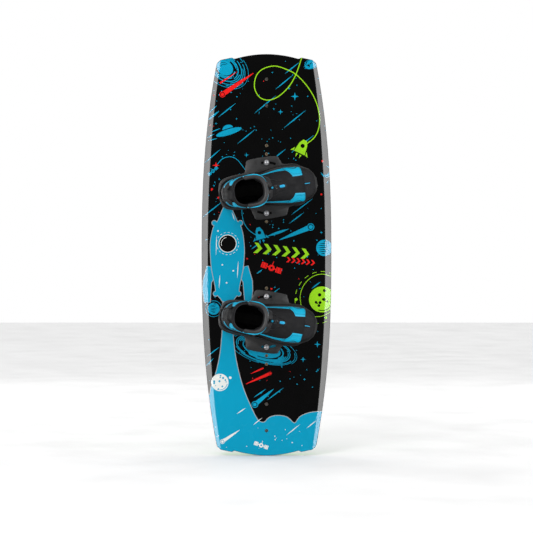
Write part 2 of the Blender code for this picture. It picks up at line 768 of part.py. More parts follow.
def build_boot(prefix, side, board):
    """side is +1 for the left boot, at the nose, and -1 for the right boot, at the tail."""
    place = on_deck(f"{prefix}_boot_place", side * BOOT_Y, board)
    foot = empty(f"{prefix}_boot_turn", place, rotation=(0, 0, side * math.radians(BOOT_YAW)))
    build_mount_screws(prefix, place)
    build_base_frame(prefix, side, foot)
    build_sole(prefix, side, foot)
    build_footbed(prefix, side, foot)
    build_upper(prefix, side, foot)
    build_heel_loop(prefix, side, foot)
    build_cord(f"{prefix}_lower_lace", lower_lace_knots(), LOWER_LACE_RADIUS, 24, foot)
    hinge_x, hinge_z = TONGUE_HINGE
    hinge = empty(f"{prefix}_tongue_axis", foot, (hinge_x, 0, hinge_z))
    leg = empty(f"{prefix}_tongue_turn", hinge, (-hinge_x, 0, -hinge_z))
    build_tongue(prefix, side, leg)
    build_lock(prefix, leg)
    build_cord(f"{prefix}_upper_lace", lace_knots(), LACE_RADIUS, 74, leg)


def main():
    clear_scene()
    board = empty("board_frame", rotation=(math.pi / 2, 0, 0))
    skins = build_board(board)
    build_fin("nose_fin", 1, board, skins)
    build_fin("tail_fin", -1, board, skins)
    build_boot("left", 1, board)
    build_boot("right", -1, board)


main()
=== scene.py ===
"""Wakeboard standing on its tail with two boots on its deck, on a pale studio floor.

The CAD model gives the frame. The board is drawn in its own directions, in mm: x across, y towards
the nose, z out of the deck. A boot is drawn in its own: u towards the toe, v across, w up from the
deck; the right boot is the left one mirrored in v.
"""

import math
import random

import bpy
import numpy as np
from mathutils import Matrix, Vector
from mathutils.geometry import delaunay_2d_cdt

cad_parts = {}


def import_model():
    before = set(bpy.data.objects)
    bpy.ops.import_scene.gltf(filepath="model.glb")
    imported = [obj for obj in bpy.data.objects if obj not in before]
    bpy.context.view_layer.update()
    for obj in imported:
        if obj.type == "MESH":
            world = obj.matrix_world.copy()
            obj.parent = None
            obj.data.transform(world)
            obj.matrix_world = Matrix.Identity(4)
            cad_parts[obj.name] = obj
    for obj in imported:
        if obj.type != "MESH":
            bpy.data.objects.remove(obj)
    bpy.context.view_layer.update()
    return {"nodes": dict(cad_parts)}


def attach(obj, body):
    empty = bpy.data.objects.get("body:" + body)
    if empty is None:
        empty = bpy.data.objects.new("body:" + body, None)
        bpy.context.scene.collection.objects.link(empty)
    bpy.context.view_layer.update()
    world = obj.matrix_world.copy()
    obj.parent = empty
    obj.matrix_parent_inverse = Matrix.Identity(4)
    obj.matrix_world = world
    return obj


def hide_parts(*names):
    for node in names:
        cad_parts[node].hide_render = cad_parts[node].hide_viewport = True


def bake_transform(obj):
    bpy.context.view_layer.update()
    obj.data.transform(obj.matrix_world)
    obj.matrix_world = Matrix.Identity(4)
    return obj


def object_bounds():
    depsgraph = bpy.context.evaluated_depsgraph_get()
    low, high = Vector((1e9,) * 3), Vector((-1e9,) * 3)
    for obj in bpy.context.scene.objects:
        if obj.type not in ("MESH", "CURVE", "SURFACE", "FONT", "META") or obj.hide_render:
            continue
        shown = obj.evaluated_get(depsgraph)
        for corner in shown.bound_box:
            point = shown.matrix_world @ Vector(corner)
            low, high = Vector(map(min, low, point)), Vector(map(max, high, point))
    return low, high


MM = 0.001
SHARP = math.radians(38)

# Board outline and surfaces, as in the CAD model
HALF_LENGTH = 600.0
HALF_WIDTH = 195.4
CORNER_Y = 573.0
TIP_TAPER = 46.4
TAPER_POWER = 2.45
TIP_RADIUS = 325.0
TIP_NOTCH_X = 97.0
TIP_EDGE = ((97.0, 585.5), (103.0, 590.0), (137.0, 583.0), (149.0, CORNER_Y))
THICKNESS = 28.0
TIP_THICKNESS = 14.0
FLAT_END = 101.0
RAMP_END = 294.0
RAMP_SLOPE = 0.05
TIP_SLOPE = 0.25
CHANNEL = (98.0, 103.0, 123.0, 128.0)
CHANNEL_DEPTH = (1.0, 4.0)
BEVEL_WIDTH = (20.0, 12.0)
DECK_DROP = 0.28
CHINE_RISE = 0.18
SKIN = 1.2
BASE_SKIN = 1.5
RAIL_WALL = 1.7
GAP = 0.3
INSERT_STARTS = (100.0, 252.4)
INSERT_PITCH = 25.4
INSERT_RADIUS = 4.5
FIN_SCREW_YS = (448.3, 526.7)
FIN_SPAN = (385.0, 582.0)
FIN_DEPTH = 42.0

# Boots on the board
BOOT_Y = 201.6
BOOT_YAW = math.radians(9)
MOUNT_RADIUS = 76.2
SLOT_HALF = 3.5

BOARD = Matrix.Rotation(math.pi / 2, 4, "X")

# Inks and finishes, in linear light
BLACK = (0.0006, 0.0006, 0.0007)
CYAN = (0.0, 0.31, 0.5)
RED = (0.82, 0.012, 0.01)
LIME = (0.3, 0.66, 0.012)
WHITE = (0.76, 0.77, 0.74)
LINE_GREY = (0.36, 0.36, 0.36)
GREEN = (0.055, 0.62, 0.04)
SHADE = (0.002, 0.13, 0.01)
BLUE = (0.008, 0.38, 0.68)


# Materials


def node(tree, kind, **values):
    """A shader node with its named inputs set to values, and its own properties by lower-case name."""
    made = tree.nodes.new(kind)
    for name, value in values.items():
        if name.islower():
            setattr(made, name, value)
        else:
            made.inputs[name.replace("_", " ")].default_value = value
    return made


def noise(tree, scale):
    place = node(tree, "ShaderNodeTexCoord")
    made = node(tree, "ShaderNodeTexNoise", Scale=scale, Detail=4.0)
    tree.links.new(place.outputs["Object"], made.inputs["Vector"])
    return made


def spread(tree, source, low, high, target):
    """Links target to source, with 0.3 and less giving low and 0.7 and more giving high."""
    mapped = node(tree, "ShaderNodeMapRange", To_Min=low, To_Max=high)
    mapped.inputs["From Min"].default_value = 0.3
    mapped.inputs["From Max"].default_value = 0.7
    tree.links.new(source, mapped.inputs["Value"])
    tree.links.new(mapped.outputs["Result"], target)


def tinted(tree, source, colour, vary, target):
    """Links target to a colour that varies a little with source."""
    ramp = node(tree, "ShaderNodeValToRGB")
    ends = ramp.color_ramp.elements
    ends[0].position, ends[1].position = 0.3, 0.7
    ends[0].color = (*(c * (1 - vary) for c in colour), 1)
    ends[1].color = (*(min(1.0, c * (1 + vary)) for c in colour), 1)
    tree.links.new(source, ramp.inputs["Fac"])
    tree.links.new(ramp.outputs["Color"], target)


def finish_of(name, colour, roughness, vary=0.1, grain=60.0, metallic=0.0, coat=0.0, specular=0.5):
    """A plain finish whose colour and roughness vary with a fine and a broad noise.

    A finish of that name that came with the frame is used as it is.
    """
    found = bpy.data.materials.get(name)
    if found:
        return found
    made = bpy.data.materials.new(name)
    made.use_nodes = True
    tree = made.node_tree
    shader = tree.nodes["Principled BSDF"]
    shader.inputs["Metallic"].default_value = metallic
    shader.inputs["Coat Weight"].default_value = coat
    shader.inputs["Coat Roughness"].default_value = 0.04
    shader.inputs["Specular IOR Level"].default_value = specular
    broad, fine = noise(tree, grain / 8), noise(tree, grain)
    tinted(tree, broad.outputs["Fac"], colour, vary, shader.inputs["Base Color"])
    spread(tree, fine.outputs["Fac"], roughness * 0.8, roughness * 1.2, shader.inputs["Roughness"])
    return made


def bumped(made, source, depth):
    """Adds a bump from a node's output to a material's shader."""
    tree = made.node_tree
    bump = node(tree, "ShaderNodeBump", Strength=depth, Distance=0.0003)
    tree.links.new(source, bump.inputs["Height"])
    tree.links.new(bump.outputs["Normal"], tree.nodes["Principled BSDF"].inputs["Normal"])
    return made


def grained(name, colour, roughness, scale, depth, **options):
    """A moulded or leather finish: the plain one with a fine cell grain."""
    made = finish_of(name, colour, roughness, **options)
    tree = made.node_tree
    place = node(tree, "ShaderNodeTexCoord")
    cells = node(tree, "ShaderNodeTexVoronoi", Scale=scale)
    tree.links.new(place.outputs["Object"], cells.inputs["Vector"])
    return bumped(made, cells.outputs["Distance"], depth)


def woven(name, colour, roughness, pitch, depth=0.7, **options):
    """A woven cloth: threads that cross in the mesh's own UV directions, in metres."""
    made = finish_of(name, colour, roughness, **options)
    tree = made.node_tree
    place = node(tree, "ShaderNodeTexCoord")
    waves = []
    for direction in ("X", "Y"):
        wave = node(tree, "ShaderNodeTexWave", Scale=math.pi / 10 / pitch, bands_direction=direction)
        tree.links.new(place.outputs["UV"], wave.inputs["Vector"])
        waves.append(wave)
    both = node(tree, "ShaderNodeMath", operation="MULTIPLY")
    for i, wave in enumerate(waves):
        tree.links.new(wave.outputs["Fac"], both.inputs[i])
    return bumped(made, both.outputs["Value"], depth)


def ink(name, colour):
    """A printed ink under a clear gloss coat."""
    return finish_of(name, colour, 0.25, vary=0.05, grain=30, coat=0.3, specular=0.05)


# Mesh helpers


def world(x, y, z):
    """A point of the board's own directions, in the frame."""
    return (x * MM, -z * MM, y * MM)


def linked(name, data):
    """A new object in the scene."""
    obj = bpy.data.objects.new(name, data)
    bpy.context.scene.collection.objects.link(obj)
    return obj


def mesh_object(name, points, faces, materials, marks):
    """A mesh object at the frame's origin; marks gives each face's material number."""
    mesh = bpy.data.meshes.new(name)
    mesh.from_pydata([tuple(p) for p in points], [], faces)
    for made in materials:
        mesh.materials.append(made)
    mesh.polygons.foreach_set("material_index", np.array(marks, np.int32))
    mesh.shade_smooth()
    mesh.set_sharp_from_angle(angle=SHARP)
    return linked(name, mesh)


def area_of(outline):
    return sum(a[0] * b[1] - b[0] * a[1] for a, b in zip(outline, [*outline[1:], outline[0]])) / 2


def ccw(outline):
    return outline if area_of(outline) > 0 else outline[::-1]


def cut_sheet(outline, holes=(), prints=(), lines=()):
    """Triangles that fill the outline less its holes, as (points, triangles, marks).

    A mark is the number of the last print that covers the triangle, or -1. Lines are kept as edges.
    """
    points, edges, faces = [], [], []
    for shape in (outline, *holes, *prints):
        faces.append(list(range(len(points), len(points) + len(shape))))
        points += ccw([tuple(p) for p in shape])
    for line in lines:
        start = len(points)
        points += list(line)
        edges += [(start + k, start + k + 1) for k in range(len(line) - 1)]
    found = delaunay_2d_cdt([Vector(p) for p in points], edges, faces, 0, 1e-4)
    spots, triangles, covers = found[0], found[2], found[5]
    kept, marks = [], []
    for triangle, cover in zip(triangles, covers):
        if 0 not in cover or any(0 < c <= len(holes) for c in cover):
            continue
        kept.append(tuple(triangle))
        top = max(cover)
        marks.append(top - len(holes) - 1 if top > len(holes) else -1)
    used = sorted({v for t in kept for v in t})
    number = {v: i for i, v in enumerate(used)}
    return [tuple(spots[v]) for v in used], [tuple(number[v] for v in t) for t in kept], marks


def open_sides(triangles):
    """The sides that only one triangle has, with the sheet on their left."""
    sides = {(t[k], t[(k + 1) % 3]) for t in triangles for k in range(3)}
    return sorted((a, b) for a, b in sides if (b, a) not in sides)


def rims(triangles):
    """The sheet's edge loops, each a list of vertices with the sheet on the left."""
    after = dict(open_sides(triangles))
    loops = []
    while after:
        start, at = next(iter(after.items()))
        loop = [start]
        del after[start]
        while at != start:
            loop.append(at)
            at = after.pop(at)
        loops.append(loop)
    return loops


def outward(points, loop):
    """Unit normals in the plane, away from the sheet, at each vertex of a loop."""
    made = []
    for k in range(len(loop)):
        a, b = points[loop[k - 1]], points[loop[(k + 1) % len(loop)]]
        way = Vector((b[1] - a[1], a[0] - b[0]))
        made.append(way.normalized() if way.length > 1e-9 else Vector((0, 0)))
    return made


def slab(name, sheet, top, bottom, materials, edge=None, side_mark=0, flip=False):
    """A closed mesh between top(x, y) and bottom(x, y) over a sheet; flip where top lies below.

    edge(x, y, nx, ny) gives the points between them along the outer rim; the other rims are plain walls.
    side_mark is the material number of everything but the top.
    """
    points, triangles, marks = sheet
    count = len(points)
    solid = [top(*p) for p in points] + [bottom(*p) for p in points]
    faces = list(triangles) + [tuple(v + count for v in t[::-1]) for t in triangles]
    numbers = [m + 1 for m in marks] + [side_mark] * len(triangles)
    walls = open_sides(triangles)
    if edge:
        outer = max(rims(triangles), key=lambda loop: area_of([points[v] for v in loop]))
        walls = [(a, b) for a, b in walls if a not in set(outer)]
        rows = [list(outer)]
        between = [edge(*points[v], *n) for v, n in zip(outer, outward(points, outer))]
        for step in range(len(between[0])):
            rows.append(list(range(len(solid), len(solid) + len(outer))))
            solid += [b[step] for b in between]
        rows.append([v + count for v in outer])
        for upper, lower in zip(rows, rows[1:]):
            for k in range(len(outer)):
                j = (k + 1) % len(outer)
                faces.append((upper[j], upper[k], lower[k], lower[j]))
    faces += [(b, a, a + count, b + count) for a, b in walls]
    numbers += [side_mark] * (len(faces) - len(numbers))
    if flip:
        faces = [f[::-1] for f in faces]
    return mesh_object(name, solid, faces, materials, numbers)


def set_normals(obj, count, normal_of):
    """Gives the mesh's first count vertices their exact normals; the rest keep their own."""
    normals = [Vector(normal_of(v.co)).normalized() if v.index < count else Vector((0, 0, 0))
               for v in obj.data.vertices]
    obj.data.normals_split_custom_set_from_vertices(normals)


# Board surfaces, as in the CAD model but with softened edges


def half_width(y):
    return HALF_WIDTH - TIP_TAPER * (abs(y) / CORNER_Y) ** TAPER_POWER


def tip_y(x):
    if abs(x) <= TIP_NOTCH_X:
        return HALF_LENGTH - x * x / (2 * TIP_RADIUS)
    return float(np.interp(abs(x), *zip(*TIP_EDGE)))


def towards_tip(y, ends):
    share = min(1.0, max(0.0, (abs(y) - RAMP_END) / (HALF_LENGTH - RAMP_END)))
    return ends[0] + (ends[1] - ends[0]) * share


def rocker(y):
    y = abs(y)
    kick = max(0.0, y - RAMP_END)
    return RAMP_SLOPE * max(0.0, y - FLAT_END) + (TIP_SLOPE - RAMP_SLOPE) * kick**2 / (
        2 * (HALF_LENGTH - RAMP_END)
    )


def thickness(y):
    share = max(0.0, abs(y) - RAMP_END) / (HALF_LENGTH - RAMP_END)
    return THICKNESS - (THICKNESS - TIP_THICKNESS) * share**1.5


def bevel_share(x, y):
    """0 inside the bevelled edge, 1 at the outline, with a soft start."""
    width = towards_tip(y, BEVEL_WIDTH)
    share = (abs(x) - half_width(min(abs(y), CORNER_Y)) + width) / width
    return min(1.0, (share + math.sqrt(share * share + 0.02)) / 2 - 0.005)


def deck_z(x, y):
    return rocker(y) + thickness(y) * (1 - DECK_DROP * max(0.0, bevel_share(x, y)))


def eased(share):
    return share * share * (3 - 2 * share)


def channel(x):
    """0 outside the base's two channels and 1 on their floor, with soft sides."""
    return float(eased(np.interp(abs(x), CHANNEL, (0.0, 1.0, 1.0, 0.0))))


def base_z(x, y):
    rise = CHINE_RISE * thickness(y) * max(0.0, bevel_share(x, y))
    return rocker(y) + channel(x) * towards_tip(y, CHANNEL_DEPTH) + rise


def normal_on(height, sign):
    """The world normal of a board surface at a world point."""

    def normal(co):
        x, y = co.x / MM, co.z / MM
        sx = (height(x + 0.5, y) - height(x - 0.5, y)) * sign
        sy = (height(x, y + 0.5) - height(x, y - 0.5)) * sign
        return (-sx, -sign, -sy)

    return normal


def board_outline(inset):
    """The board's outline, drawn in by inset, counterclockwise."""
    tip = [(x, tip_y(x)) for x in np.linspace(0, TIP_NOTCH_X, 22)]
    tip += [(x, tip_y(x)) for x in np.linspace(98.5, 147.5, 34)]
    side = [(half_width(y), y) for y in np.linspace(CORNER_Y, 0, 64)]
    quarter = tip + side
    for _ in range(2):
        middle = [tuple((np.array(a) + 2 * np.array(b) + np.array(c)) / 4)
                  for a, b, c in zip(quarter, quarter[1:], quarter[2:])]
        quarter = [quarter[0], *middle, quarter[-1]]
    right = quarter + [(x, -y) for x, y in quarter[-2::-1]]
    whole = right[::-1] + [(-x, y) for x, y in right[1:-1]]
    normals = outward(whole, list(range(len(whole))))
    return [(x - n.x * inset, y - n.y * inset) for (x, y), n in zip(whole, normals)]


def board_lines(extra):
    """Rows across the board, and lines along it where its surface changes."""
    rows = [[(-210, y), (210, y)] for y in np.linspace(-600, 600, 101)]
    ys = np.linspace(-612, 612, 120)
    for offset in (-4, -2, 0, 2, 5, 9):
        edge = [half_width(min(abs(y), CORNER_Y)) - towards_tip(y, BEVEL_WIDTH) + offset for y in ys]
        for hand in (-1, 1):
            rows.append([(hand * x, y) for x, y in zip(edge, ys)])
    return rows + [[(hand * x, -612), (hand * x, 612)] for x in extra for hand in (-1, 1)]


# Shapes of the prints, in mm: each is an outline


def set_down(points, x, y, tilt):
    """Points turned by tilt degrees about nought, then moved to (x, y)."""
    c, s = math.cos(math.radians(tilt)), math.sin(math.radians(tilt))
    return [(x + a * c - b * s, y + a * s + b * c) for a, b in points]


def circle_angles(count):
    return [2 * math.pi * k / count for k in range(count)]


def disc(x, y, radius, sides=20, squash=1.0, tilt=0.0):
    """A circle, or an ellipse tilted by tilt degrees."""
    ring = [(radius * math.cos(t), radius * squash * math.sin(t)) for t in circle_angles(sides)]
    return set_down(ring, x, y, tilt)


def star(x, y, radius, points=4, waist=0.28):
    outline = []
    for k in range(2 * points):
        r = radius if k % 2 == 0 else radius * waist
        t = math.pi * k / points
        outline.append((x + r * math.sin(t), y + r * math.cos(t)))
    return outline


def spindle(x0, y0, x1, y1, width, belly=0.5):
    """A streak that is pointed at both ends and widest at belly."""
    way = Vector((x1 - x0, y1 - y0))
    across = Vector((-way.y, way.x)).normalized() * width / 2
    left, right = [], []
    for f in (0.0, belly * 0.5, belly, (1 + belly) / 2, 1.0):
        wide = 0.12 + 0.88 * (1 - abs(f - belly) / max(belly, 1 - belly)) ** 0.6
        at = Vector((x0, y0)) + way * f
        left.append(tuple(at + across * wide))
        right.append(tuple(at - across * wide))
    return left + right[::-1]


def box(x, y, width, height, tilt):
    corners = ((-0.5, -0.5), (0.5, -0.5), (0.5, 0.5), (-0.5, 0.5))
    return set_down([(a * width, b * height) for a, b in corners], x, y, tilt)


def spline(p0, p1, p2, p3, t):
    """A smooth curve's point at t between p1 and p2."""
    return 0.5 * (2 * p1 + (p2 - p0) * t + (2 * p0 - 5 * p1 + 4 * p2 - p3) * t * t
                  + (3 * p1 - p0 - 3 * p2 + p3) * t * t * t)


def curve_through(knots, steps, closed=False):
    """A smooth curve through 2-D or 3-D knots."""
    points = [Vector(k) for k in knots]
    if closed:
        points = [points[-1], *points, points[0], points[1]]
    else:
        points = [2 * points[0] - points[1], *points, 2 * points[-1] - points[-2]]
    curve = []
    for four in zip(points, points[1:], points[2:], points[3:]):
        curve += [spline(*four, t) for t in np.linspace(0, 1, steps, endpoint=False)]
    if not closed:
        curve.append(points[-2])
    return [tuple(p) for p in curve]


def band(line, width):
    """A line drawn with a round pen: one box and one disc for each step."""
    shapes = []
    for a, b in zip(line, line[1:]):
        way = Vector(b) - Vector(a)
        middle = (Vector(a) + Vector(b)) / 2
        shapes.append(box(*middle, way.length, width, math.degrees(math.atan2(way.y, way.x))))
        shapes.append(disc(*b, width / 2, 8))
    return shapes


def ring_band(x, y, radius, width, squash=1.0, tilt=0.0, start=0, end=360, dashes=0):
    """An arc of an ellipse drawn with a pen; with dashes it is broken."""
    whole = disc(x, y, radius, 72, squash, tilt)
    picked = [whole[k % 72] for k in range(start // 5, end // 5 + 1)]
    shapes = []
    for k, (a, b) in enumerate(zip(picked, picked[1:])):
        if not dashes or k % (2 * dashes) < dashes:
            shapes += band((a, b), width)[:1]
    return shapes


# The deck's print: a night sky with generic rockets, planets and galaxies

DECK_INKS = ("black", "cyan", "red", "lime", "white", "grey")
STREAKS = (
    (-145, 413, -92, 455), (-36, 425, 28, 477), (27, 496, 80, 539), (55, 542, 97, 575),
    (52, 381, 118, 434), (-87, 334, -34, 377), (15, 284, 59, 319), (74, 307, 142, 359),
    (-186, 276, -139, 317), (-123, 212, -79, 246), (-173, 426, -149, 448), (74, 120, 140, 170),
    (68, 94, 113, 128), (-194, 112, -131, 162), (-152, 167, -100, 207), (-30, -57, -12, -44),
    (-7, -136, 41, -99), (-10, -162, 25, -134), (135, -102, 163, -81), (101, -200, 128, -179),
    (-179, -306, -141, -276), (-182, -334, -159, -311), (-38, -428, -2, -403), (2, -436, 51, -399),
    (-46, 17, -21, 35),
)
BROAD_STREAK = (2, 56, 67, 78)
STARS = (
    ("cyan", 85, 475, 12), ("cyan", 42, 429, 8), ("cyan", 153, -269, 10), ("cyan", 110, -314, 8),
    ("red", -152, 269, 11), ("red", 144, 202, 8), ("red", -10, -176, 9), ("cyan", -60, 300, 7),
)
RED_DOTS = (
    (-164, 198), (-145, 172), (165, 182), (15, -102), (-23, -125), (10, -188), (168, 282), (130, 247),
)
LIME_TETHER = (
    (106, 591), (88, 540), (67, 504), (36, 475), (5, 464), (-21, 473), (-36, 501), (-31, 535),
    (-11, 556), (23, 565), (57, 556), (88, 540), (119, 509), (145, 468), (158, 424), (158, 385),
    (145, 354), (119, 332),
)
CYAN_TETHER = (
    (-148, 272), (-132, 289), (-109, 295), (-88, 286), (-70, 264), (-36, 221), (-11, 242), (19, 250),
    (46, 242), (59, 224), (61, 198), (49, 181), (27, 174), (2, 181), (-21, 198), (-65, 173),
    (-72, 154), (-74, 126), (-67, 95), (-51, 73), (-26, 56),
)
CLOUD = (
    (-105, -136), (-105, -197), (-101, -243), (-95, -296), (-84, -351), (-69, -403), (-50, -449),
    (-27, -494), (-7, -502), (8, -488), (33, -482), (62, -487), (84, -505), (100, -486), (128, -474),
    (166, -470), (230, -470), (230, -650), (-230, -650), (-230, -425), (-176, -425), (-167, -400),
    (-152, -357), (-141, -308), (-135, -259), (-131, -197), (-130, -136),
)
HULL = (
    (-118, 159), (-103, 134), (-89, 103), (-79, 89), (-71, 60), (-67, 20), (-68, -10), (-71, -42),
    (-82, -97), (-84, -114), (-97, -132), (-104, -140), (-130, -140), (-138, -132), (-152, -114),
    (-154, -97), (-165, -42), (-168, -8), (-169, 31), (-165, 62), (-157, 89), (-146, 103), (-133, 134),
)
WINDOW = (-117, 34)
LEFT_FIN = ((-168, -36), (-179, -33), (-191, -78), (-192, -108), (-187, -143), (-170, -143),
            (-166, -83), (-158, -70))
RIGHT_FIN = ((-67, -36), (-56, -33), (-43, -78), (-42, -108), (-46, -143), (-65, -143), (-70, -83),
             (-77, -70))


def put(art, color, *shapes):
    """Adds shapes to a print; later ones lie on earlier ones."""
    art += [(color, shape) for shape in shapes]


def grown(outline, step):
    """A simple outline moved outward by step."""
    whole = ccw(list(outline))
    normals = outward(whole, list(range(len(whole))))
    return [(x + n.x * step, y + n.y * step) for (x, y), n in zip(whole, normals)]


def outlined(art, fill, outline, width=1.8):
    """A shape with a grey line round it."""
    put(art, "grey", grown(outline, width))
    put(art, fill, outline)


def comet(art, color, head, tail, radius, width, ground="black"):
    """A round head with a ring, and a tail that narrows away from it."""
    put(art, color, spindle(*head, *tail, width, 0.12))
    put(art, color, disc(*head, radius))
    put(art, ground, disc(*head, radius * 0.78))
    put(art, color, disc(*head, radius * 0.55))


def galaxy(art, color, x, y, radius, squash, tilt, seed, ground="black", core=0.34):
    """A bright core with broken arms round it."""
    rng = random.Random(seed)
    put(art, color, disc(x, y, radius * core, 36, squash * 1.1, tilt))
    for share in (0.45, 0.7):
        put(art, ground, *ring_band(x, y, radius * core * share, 1.4, squash, tilt, 90, 200))
    for turn in range(9):
        reach = radius * (core + 0.08 + (0.98 - core) / 9 * turn)
        start = rng.randrange(0, 360, 5)
        for part in range(2):
            begin = (start + 180 * part) % 360
            shapes = ring_band(x, y, reach, 3.6 - 0.3 * turn, squash, tilt, begin, begin + 115)
            put(art, color, *shapes)
    for _ in range(26):
        t, reach = rng.uniform(0, 2 * math.pi), radius * rng.uniform(0.5, 1.15)
        (at,) = set_down([(reach * math.cos(t), reach * squash * math.sin(t))], x, y, tilt)
        put(art, color, disc(*at, rng.uniform(0.7, 1.8), 6))


def planet(art, color, x, y, radius, seed, marks="spots", ground="black"):
    """A disc with spots or stripes and a crescent of shade."""
    rng = random.Random(seed)
    put(art, color, disc(x, y, radius, 36))
    if marks == "stripes":
        for k in range(-3, 4):
            rise = k * radius / 4
            half = 0.8 * math.sqrt(max(0.0, (0.86 * radius) ** 2 - rise**2))
            middle, level = x + rng.uniform(-0.2, 0.2) * radius, y + rise
            put(art, ground, spindle(middle - half, level, middle + half, level + 3, radius * 0.11))
        return
    for _ in range(11):
        t, reach = rng.uniform(0, 2 * math.pi), radius * math.sqrt(rng.uniform(0, 0.62))
        size = radius * rng.uniform(0.05, 0.14)
        put(art, ground, disc(x + reach * math.cos(t), y + reach * math.sin(t), size, 10))
    put(art, ground, *ring_band(x, y, radius * 0.86, radius * 0.07, 1, 0, 250, 350))


def satellite(art, color, x, y, size, tilt, ground="black"):
    """A round body between two panels, with an aerial."""

    def bar(ink_name, along, up, width, height):
        (at,) = set_down([(along * size, up * size)], x, y, tilt)
        put(art, ink_name, box(*at, width * size, height * size, tilt))

    bar(color, 0, 0, 0.9, 0.06)
    put(art, color, disc(x, y, size * 0.15))
    put(art, ground, disc(x, y, size * 0.06, 8))
    for panel in (-0.36, 0.36):
        bar(color, panel, 0, 0.28, 0.26)
        bar(ground, panel - 0.07, 0, 0.015, 0.22)
        bar(ground, panel + 0.07, 0, 0.015, 0.22)
    bar(color, 0, 0.22, 0.03, 0.2)


def probe(art, color, x, y, size, tilt, ground="black"):
    """A small capsule with a round window, two jets and two fins."""

    def scaled(outline):
        return set_down([(a * size, b * size) for a, b in outline], x, y, tilt)

    hull = ((-0.3, -0.3), (0.3, -0.3), (0.22, 0.2), (0.1, 0.42), (-0.1, 0.42), (-0.22, 0.2))
    put(art, color, scaled(hull))
    put(art, ground, disc(*scaled([(0, 0.1)])[0], size * 0.11, 14))
    fin, jet = ((0.32, -0.1), (0.5, -0.34), (0.34, -0.3)), ((0.05, -0.36), (0.16, -0.36), (0.1, -0.56))
    for hand in (-1, 1):
        put(art, color, *(scaled([(hand * a, b) for a, b in shape]) for shape in (fin, jet)))


def saucer(art, color, x, y, radius, tilt):
    put(art, color, disc(x - 3, y + 8, radius * 0.42, 24, 0.75, tilt))
    put(art, "black", disc(x, y, radius * 1.04, 32, 0.25, tilt))
    put(art, color, disc(x, y - 1, radius, 32, 0.22, tilt))


def big_rocket(art):
    for fin in (LEFT_FIN, RIGHT_FIN):
        outlined(art, "cyan", fin)
    knobs = [disc(x, y, 7, 16) for x, y in ((-157, 96), (-79, 96), (-153, -117), (-84, -117))]
    for knob in knobs:
        outlined(art, "cyan", knob)
    outlined(art, "cyan", curve_through(HULL, 3, closed=True))
    put(art, "cyan", *knobs)
    put(art, "white", disc(*WINDOW, 27, 40))
    put(art, "black", disc(*WINDOW, 25, 40))
    put(art, "white", *ring_band(*WINDOW, 19, 1.4, 1, 0, 100, 200))
    put(art, "white", *ring_band(*WINDOW, 33.5, 1.3, dashes=2))
    for ends in ((-150, 60, -152, 0), (-85, -20, -88, -70), (-140, -60, -143, -100), (-104, 128, -96, 104)):
        put(art, "white", spindle(*ends, 2.4))
    for x, y in ((-133, -30), (-100, -48), (-120, -84), (-146, 72)):
        put(art, "white", disc(x, y, 2.4, 10))


def cloud(art):
    outlined(art, "cyan", curve_through(CLOUD, 3, closed=True), width=2.0)
    rng = random.Random(7)
    planet(art, "white", -140, -383, 26, 3, ground="cyan")
    satellite(art, "white", -115, -205, 26, 30, ground="cyan")
    satellite(art, "white", -16, -570, 44, -20, ground="cyan")
    comet(art, "white", (-132, -559), (-81, -525), 7, 9, ground="cyan")
    put(art, "white", spindle(-89, -477, -62, -459, 3), disc(-109, -369, 4))
    for _ in range(20):
        x, y = rng.uniform(-168, 168), rng.uniform(-585, -505)
        put(art, "white", disc(x, y, rng.uniform(0.7, 1.9), 7))
    for x, y, w in ((60, -540, 40), (120, -520, 30), (-40, -510, 26)):
        put(art, "white", spindle(x, y, x + w, y + w * 0.8, 2.6))


def chevrons(art, color, x, y, count, height, tilt):
    """A row of arrow marks."""
    mark = ((0, -0.5), (0.38, -0.5), (0.82, 0), (0.38, 0.5), (0, 0.5), (0.44, 0))
    for start in (0.92 * k for k in range(count)):
        put(art, color, set_down([((start + a) * height, b * height) for a, b in mark], x, y, tilt))


def deck_ornaments(art):
    galaxy(art, "cyan", -125, 560, 78, 0.72, -35, 1)
    galaxy(art, "cyan", 136, 572, 24, 0.6, 20, 2)
    put(art, "red", spindle(-140, 514, -88, 548, 5, 0.1))
    comet(art, "red", (-132, 481), (-39, 544), 9, 14)
    put(art, "lime", *band(curve_through(LIME_TETHER, 4), 2.8))
    probe(art, "lime", 106, 322, 58, -25)
    saucer(art, "cyan", -113, 370, 40, 17)
    for ends in ((-166, 369, -138, 380), (-179, 352, -157, 363), (-175, 343, -148, 350)):
        put(art, "cyan", spindle(*ends, 3))
    put(art, "cyan", spindle(-176, 405, -143, 431, 6))
    put(art, "cyan", *band(curve_through(CYAN_TETHER, 4), 2.0))
    probe(art, "cyan", -20, 62, 50, 15)
    satellite(art, "cyan", -161, 252, 36, 40)
    planet(art, "cyan", 181, 250, 17, 5)
    put(art, "black", disc(176, 254, 13, 24))
    planet(art, "red", -49, 197, 25, 6)
    put(art, "red", *ring_band(-49, 197, 39, 1.5, dashes=2))
    put(art, "red", disc(-74, 225, 6))
    comet(art, "cyan", (133, 84), (39, 45), 11, 15)
    galaxy(art, "cyan", -10, -282, 104, 0.42, -17, 8, core=0.52)
    probe(art, "white", -24, -223, 34, 10, ground="cyan")
    put(art, "red", spindle(-47, -357, -9, -340, 5, 0.7))
    comet(art, "red", (11, -356), (-62, -388), 5, 9)
    comet(art, "cyan", (-35, -449), (21, -403), 10, 13)
    satellite(art, "red", 15, -39, 64, -20)
    planet(art, "cyan", -159, -162, 18, 9, "stripes")
    put(art, "cyan", *ring_band(-159, -162, 24, 1.4))


